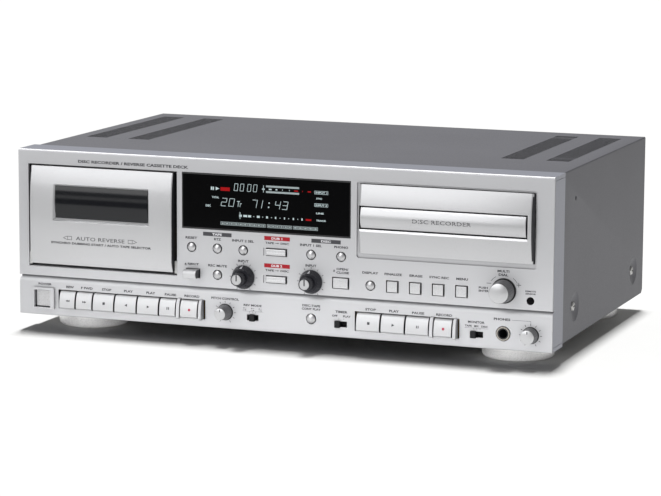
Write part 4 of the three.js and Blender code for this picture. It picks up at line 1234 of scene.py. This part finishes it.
def bars(spans, face=0, ink=INK):
    """A bar for each pair of spans (x, z)."""
    return [bar(x, z, face, ink) for x, z in spans]


def stroke(a, b, width, face=0):
    """A straight line from a to b."""
    length = math.hypot(b[0] - a[0], b[1] - a[1])
    nx, nz = (a[1] - b[1]) / length * width / 2, (b[0] - a[0]) / length * width / 2
    return sign([(p[0] + k * nx, p[1] + k * nz) for p, k in ((a, 1), (b, 1), (b, -1), (a, -1))], face)


def triangle(x, z, size, way, face=0):
    """A triangle about (x, z) that points left (-1), right (1) or up (0)."""
    if way == 0:
        return sign([(x - size, z - size * 0.8), (x + size, z - size * 0.8), (x, z + size * 0.8)], face)
    return sign([(x - way * size, z + size), (x - way * size, z - size), (x + way * size, z)], face)


def polar(centre, r, angle):
    """The point at a radius and an angle from a centre; an angle of 90 is straight up."""
    return (centre[0] + r * math.cos(math.radians(angle)), centre[1] + r * math.sin(math.radians(angle)))


def ticks(centre, radius):
    """Short lines round a knob."""
    ends = (radius, radius + TICK["length"])
    angles = range(-60, 241, 30)
    return [stroke(*[polar(centre, r, angle) for r in ends], TICK["width"]) for angle in angles]


def outline_bars(x, z, width, face=0):
    """Four bars round a rectangle."""
    inner_z = grown(z, -width)
    ring = [(x, (z[0], inner_z[0])), (x, (inner_z[1], z[1]))]
    ring += [((x[0], x[0] + width), inner_z), ((x[1] - width, x[1]), inner_z)]
    return bars(ring, face)


def legends():
    """The panel's words, arrows, ticks and scales, and the dark and red label bars."""
    parts = words(PANEL_WORDS)
    for z in (68.6, 47.6):
        parts += [bar((-1.6, 1), around(z, 0.15)), triangle(1.2, z, 0.6, 1)]
    for x, z, size in EJECT_SIGNS:
        parts += [triangle(x, z, size, 0), bar(around(x, size), (z - 1.4, z - 1))]
    for centre in INPUT_KNOBS.values():
        parts += ticks(centre, 9.9)
    parts += ticks(PITCH, 7.3) + ticks(PHONES_LEVEL, 7.3)
    for angles in (range(30, 60, 5), range(121, 151, 5)):
        rim = [polar(DIAL, 12, angle) for angle in angles]
        parts += [stroke(a, b, 0.3) for a, b in zip(rim, rim[1:])]
    parts += bars(PANEL_LINES)
    parts += bars([(around(x, 0.12), (13.6, 14.7)) for x in SWITCH_STOPS])
    for x in (-26.3, -19.8, -13.6):
        parts += [bar((x - 1.5, x + 0.9), (15.6, 15.8)), triangle(x + 1, 15.7, 0.5, 1)]
        parts += [bar((x - 0.9, x + 1.5), (17, 17.2)), triangle(x - 1, 17.1, 0.5, -1)]
    piece("panel_legends", parts, LEGEND_GREY)
    for rows, colour, material in ((DARK_BARS, "dark", LABEL_DARK), (RED_BARS, "red", LABEL_RED)):
        piece(f"label_bars_{colour}", bars([(x, z) for _, x, z in rows], ink=LABEL_INK), material)
    rows = [(sum(z) / 2, 1.8, written) for written, _, z in DARK_BARS + RED_BARS]
    piece("label_bar_words", words(rows, -LABEL_INK), LABEL_WHITE)


def key_face(z):
    """How far forward a key's face is at a height, from the same curve as its profile."""
    t = 0.5
    for _ in range(30):
        height = (1 - t) ** 2 * KEY_Z[1] + 2 * t * (1 - t) * (KEY_Z[1] - 3) + t * t * (KEY_Z[0] + 1)
        t = min(1, max(0, t + (height - z) * 0.06))
    return -(1 - t) ** 2 - KEY_REACH * (2 * t * (1 - t) + t * t)


def key_signs():
    for name, x in KEYS.items():
        kind = name.split("_", 1)[1].removesuffix("_key")
        middle = sum(x) / 2 + 0.6
        z = KEY_SIGN_Z
        material = KEY_PRINT
        if kind in KEY_ARROWS:
            arrows = KEY_ARROWS[kind]
            parts = [triangle(middle + shift, z, size, way, key_face) for shift, way, size in arrows]
        elif kind == "stop":
            parts = [bar(around(middle, 1), around(z, 1), key_face)]
        elif kind == "pause":
            parts = [bar((left, left + 0.7), around(z, 1), key_face) for left in (middle - 1, middle + 0.3)]
        else:
            parts = [sign(arc((middle, z), 1.05, 0, 345, 23), key_face)]
            material = KEY_PRINT_RED
        piece(f"{name}_sign", parts, material, f"{name}_body")


def digit(value, x, z, size, width, slant):
    """A seven-segment figure on the display; x and z are its lower left corner."""
    w, h = size
    lit = {"0": "abcdef", "1": "bc", "2": "abged", "3": "abgcd", "4": "fgbc", "7": "abc"}[value]
    ends = {
        "a": ((0, h), (w, h)), "b": ((w, h), (w, h / 2)), "c": ((w, h / 2), (w, 0)), "d": ((0, 0), (w, 0)),
        "e": ((0, 0), (0, h / 2)), "f": ((0, h / 2), (0, h)), "g": ((0, h / 2), (w, h / 2)),
    }
    lines = [[(x + px + pz * slant, z + pz) for px, pz in ends[name]] for name in lit]
    return [stroke(a, b, width, DISPLAY_FACE) for a, b in lines]


def display_signs():
    """The lit signs on the display: counter, levels, track and time, and the track row."""
    white = bars(COUNTER_PAUSE, DISPLAY_FACE)
    white.append(sign(COUNTER_PLAY, DISPLAY_FACE))
    for x in COUNTER_X:
        white += digit("0", x, COUNTER_Z, **COUNTER_DIGIT)
    white += bars(LEVEL_SIGNS, DISPLAY_FACE) + words(DISPLAY_WORDS, DISPLAY_FACE)
    for z in ((108, 110.5), (98.5, 101)):
        white += outline_bars((30.3, 41.2), z, 0.25, DISPLAY_FACE)
    for value, x in TIME:
        white += digit(value, x, TIME_Z, **TIME_DIGIT)
    white += words([(97, 4.4, ("Tr", -32.6, -28.9))], DISPLAY_FACE, shear=0.2)
    white += bars(COLON_AND_SCALE_SIGN, DISPLAY_FACE)
    white += bars([(x, (87.3, 88.9)) for x in SCALE], DISPLAY_FACE)
    white += bars([(around(x, 0.3), (87.8, 88.4)) for x in SCALE_DOTS], DISPLAY_FACE)
    piece("display_signs", white, GLOW_WHITE)
    cells = bars([((-9, 17.9), z) for z in ((111.1, 112.5), (106.8, 108.2))], DISPLAY_FACE)
    for start, end, count in TRACK_CELLS:
        step = (end - start) / count
        for i in range(count):
            left = start + i * step
            cells += outline_bars((left, left + step - 0.3), (80.2, 82.7), 0.35, DISPLAY_FACE)
            cells.append(bar((left + 0.9, left + step - 1.2), (80.9, 82), DISPLAY_FACE))
    piece("display_track_row", cells, GLOW_DIM)
    piece("display_red_signs", bars(RED_SIGNS, DISPLAY_FACE), GLOW_RED)


# ---- Carried-over CAD nodes ----
def dress_cad_nodes():
    looks = (
        (ZINC, ("chassis_base", "rear_panel", "mechanism_plate", "drive_housing", "multi_dial_shaft")),
        (BLACK_PLASTIC, ("mains_inlet",)),
        (DARK_PLASTIC, ("disc_tray", "cassette_holder", "reel_spindle_left", "reel_spindle_right")),
        (GRIP_BLACK, SWITCH_SLOTS),
    )
    for material, names in looks:
        for name in names:
            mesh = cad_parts[name].data
            mesh.materials.clear()
            mesh.materials.append(material)


# ---- Studio ----
def camera():
    """The photograph's view: from the right, a little above, with a long lens."""
    cam = bpy.data.objects.new("camera", bpy.data.cameras.new("camera"))
    bpy.context.scene.collection.objects.link(cam)
    cam.data.lens = CAMERA["lens"]
    cam.location = PLACE @ Vector(CAMERA["place"])
    yaw, pitch, roll = (math.radians(CAMERA[key]) for key in ("yaw", "pitch", "roll"))
    level = math.cos(pitch)
    forward = Vector((-math.sin(yaw) * level, math.cos(yaw) * level, -math.sin(pitch)))
    turn = forward.to_track_quat("-Z", "Y") @ Matrix.Rotation(roll, 3, "Z").to_quaternion()
    cam.rotation_euler = turn.to_euler()
    bpy.context.scene.camera = cam


def new_light(name, kind, direction, power, receivers):
    """A light that looks along direction and lights only what the collection receivers allows."""
    light = bpy.data.objects.new(name, bpy.data.lights.new(name, kind))
    light.data.energy = power
    light.rotation_euler = Vector(direction).to_track_quat("-Z", "Y").to_euler()
    light.light_linking.receiver_collection = receivers
    bpy.context.scene.collection.objects.link(light)
    return light


def sun_light(name, direction, strength, angle, receivers):
    sun = new_light(name, "SUN", direction, strength, receivers)
    sun.data.angle = math.radians(angle)


def area_light(name, place, target, size, power, shines, receivers):
    light = new_light(name, "AREA", Vector(target) - Vector(place), power, receivers)
    light.data.shape = "RECTANGLE"
    light.data.size, light.data.size_y = size
    light.location = place
    light.visible_camera = False
    light.visible_glossy = shines


def stage_sheet(name, x, y, z, material):
    sheet = bpy.data.objects.new(name, bpy.data.meshes.new(name))
    corners = [(x[0], y[0], z), (x[1], y[0], z), (x[1], y[1], z), (x[0], y[1], z)]
    sheet.data.from_pydata(corners, [], [(0, 1, 2, 3)])
    sheet.data.materials.append(material)
    bpy.context.scene.collection.objects.link(sheet)
    return sheet


def studio_world():
    """White to the camera, and a weaker white light from all round to everything else."""
    world = bpy.data.worlds.new("world")
    world.use_nodes = True
    nodes, links = world.node_tree.nodes, world.node_tree.links
    rays = nodes.new("ShaderNodeLightPath")
    strength = nodes.new("ShaderNodeMapRange")
    strength.inputs["To Min"].default_value = WORLD_LIGHT
    strength.inputs["To Max"].default_value = 1.0
    links.new(rays.outputs["Is Camera Ray"], strength.inputs["Value"])
    links.new(strength.outputs["Result"], nodes["Background"].inputs["Strength"])
    nodes["Background"].inputs["Color"].default_value = (1, 1, 1, 1)
    bpy.context.scene.world = world


def studio():
    """A pale floor with its own suns, a soft sun and four area lights for the object, and a dark card.

    The card lies unseen in front of the object, and darkens only what the object mirrors.
    """
    bpy.context.scene.view_settings.view_transform = "Standard"
    white = surface("floor", (0.62, 0.62, 0.613), 0.9, grain=40, bump=0.01, spread=0.005)
    floor = stage_sheet("floor", (-30, 30), (-30, 30), 0, white)
    card = stage_sheet("card", (-1.3, 0.3), (-1.5, -0.62), 0.002, surface("card", (0.01, 0.01, 0.01), 0.9))
    card.visible_camera = False
    card.visible_shadow = False
    card.visible_diffuse = False
    studio_world()
    only_floor = bpy.data.collections.new("only_the_floor")
    only_floor.objects.link(floor)
    for number, (tilt, power) in enumerate(FLOOR_SUNS):
        sun_light(f"floor_sun_{number}", (0.035, -tilt, -1.0), power, 7, only_floor)
    off_floor = bpy.data.collections.new("not_the_floor")
    off_floor.objects.link(floor)
    off_floor.collection_objects[0].light_linking.link_state = "EXCLUDE"
    sun_light("deck_sun", (0.35, -0.25, -1.0), 3.8, 30, off_floor)
    for row in AREA_LIGHTS:
        area_light(*row, off_floor)


front_panel()
power_frame()
top_cover()
feet()
cassette_door()
display()
disc_side()
buttons()
keys()
knobs()
small_fittings()
rear()
boards()
transformer()
tape_mechanism()
disc_mechanism()
display_module()
legends()
key_signs()
display_signs()
dress_cad_nodes()
camera()
studio()
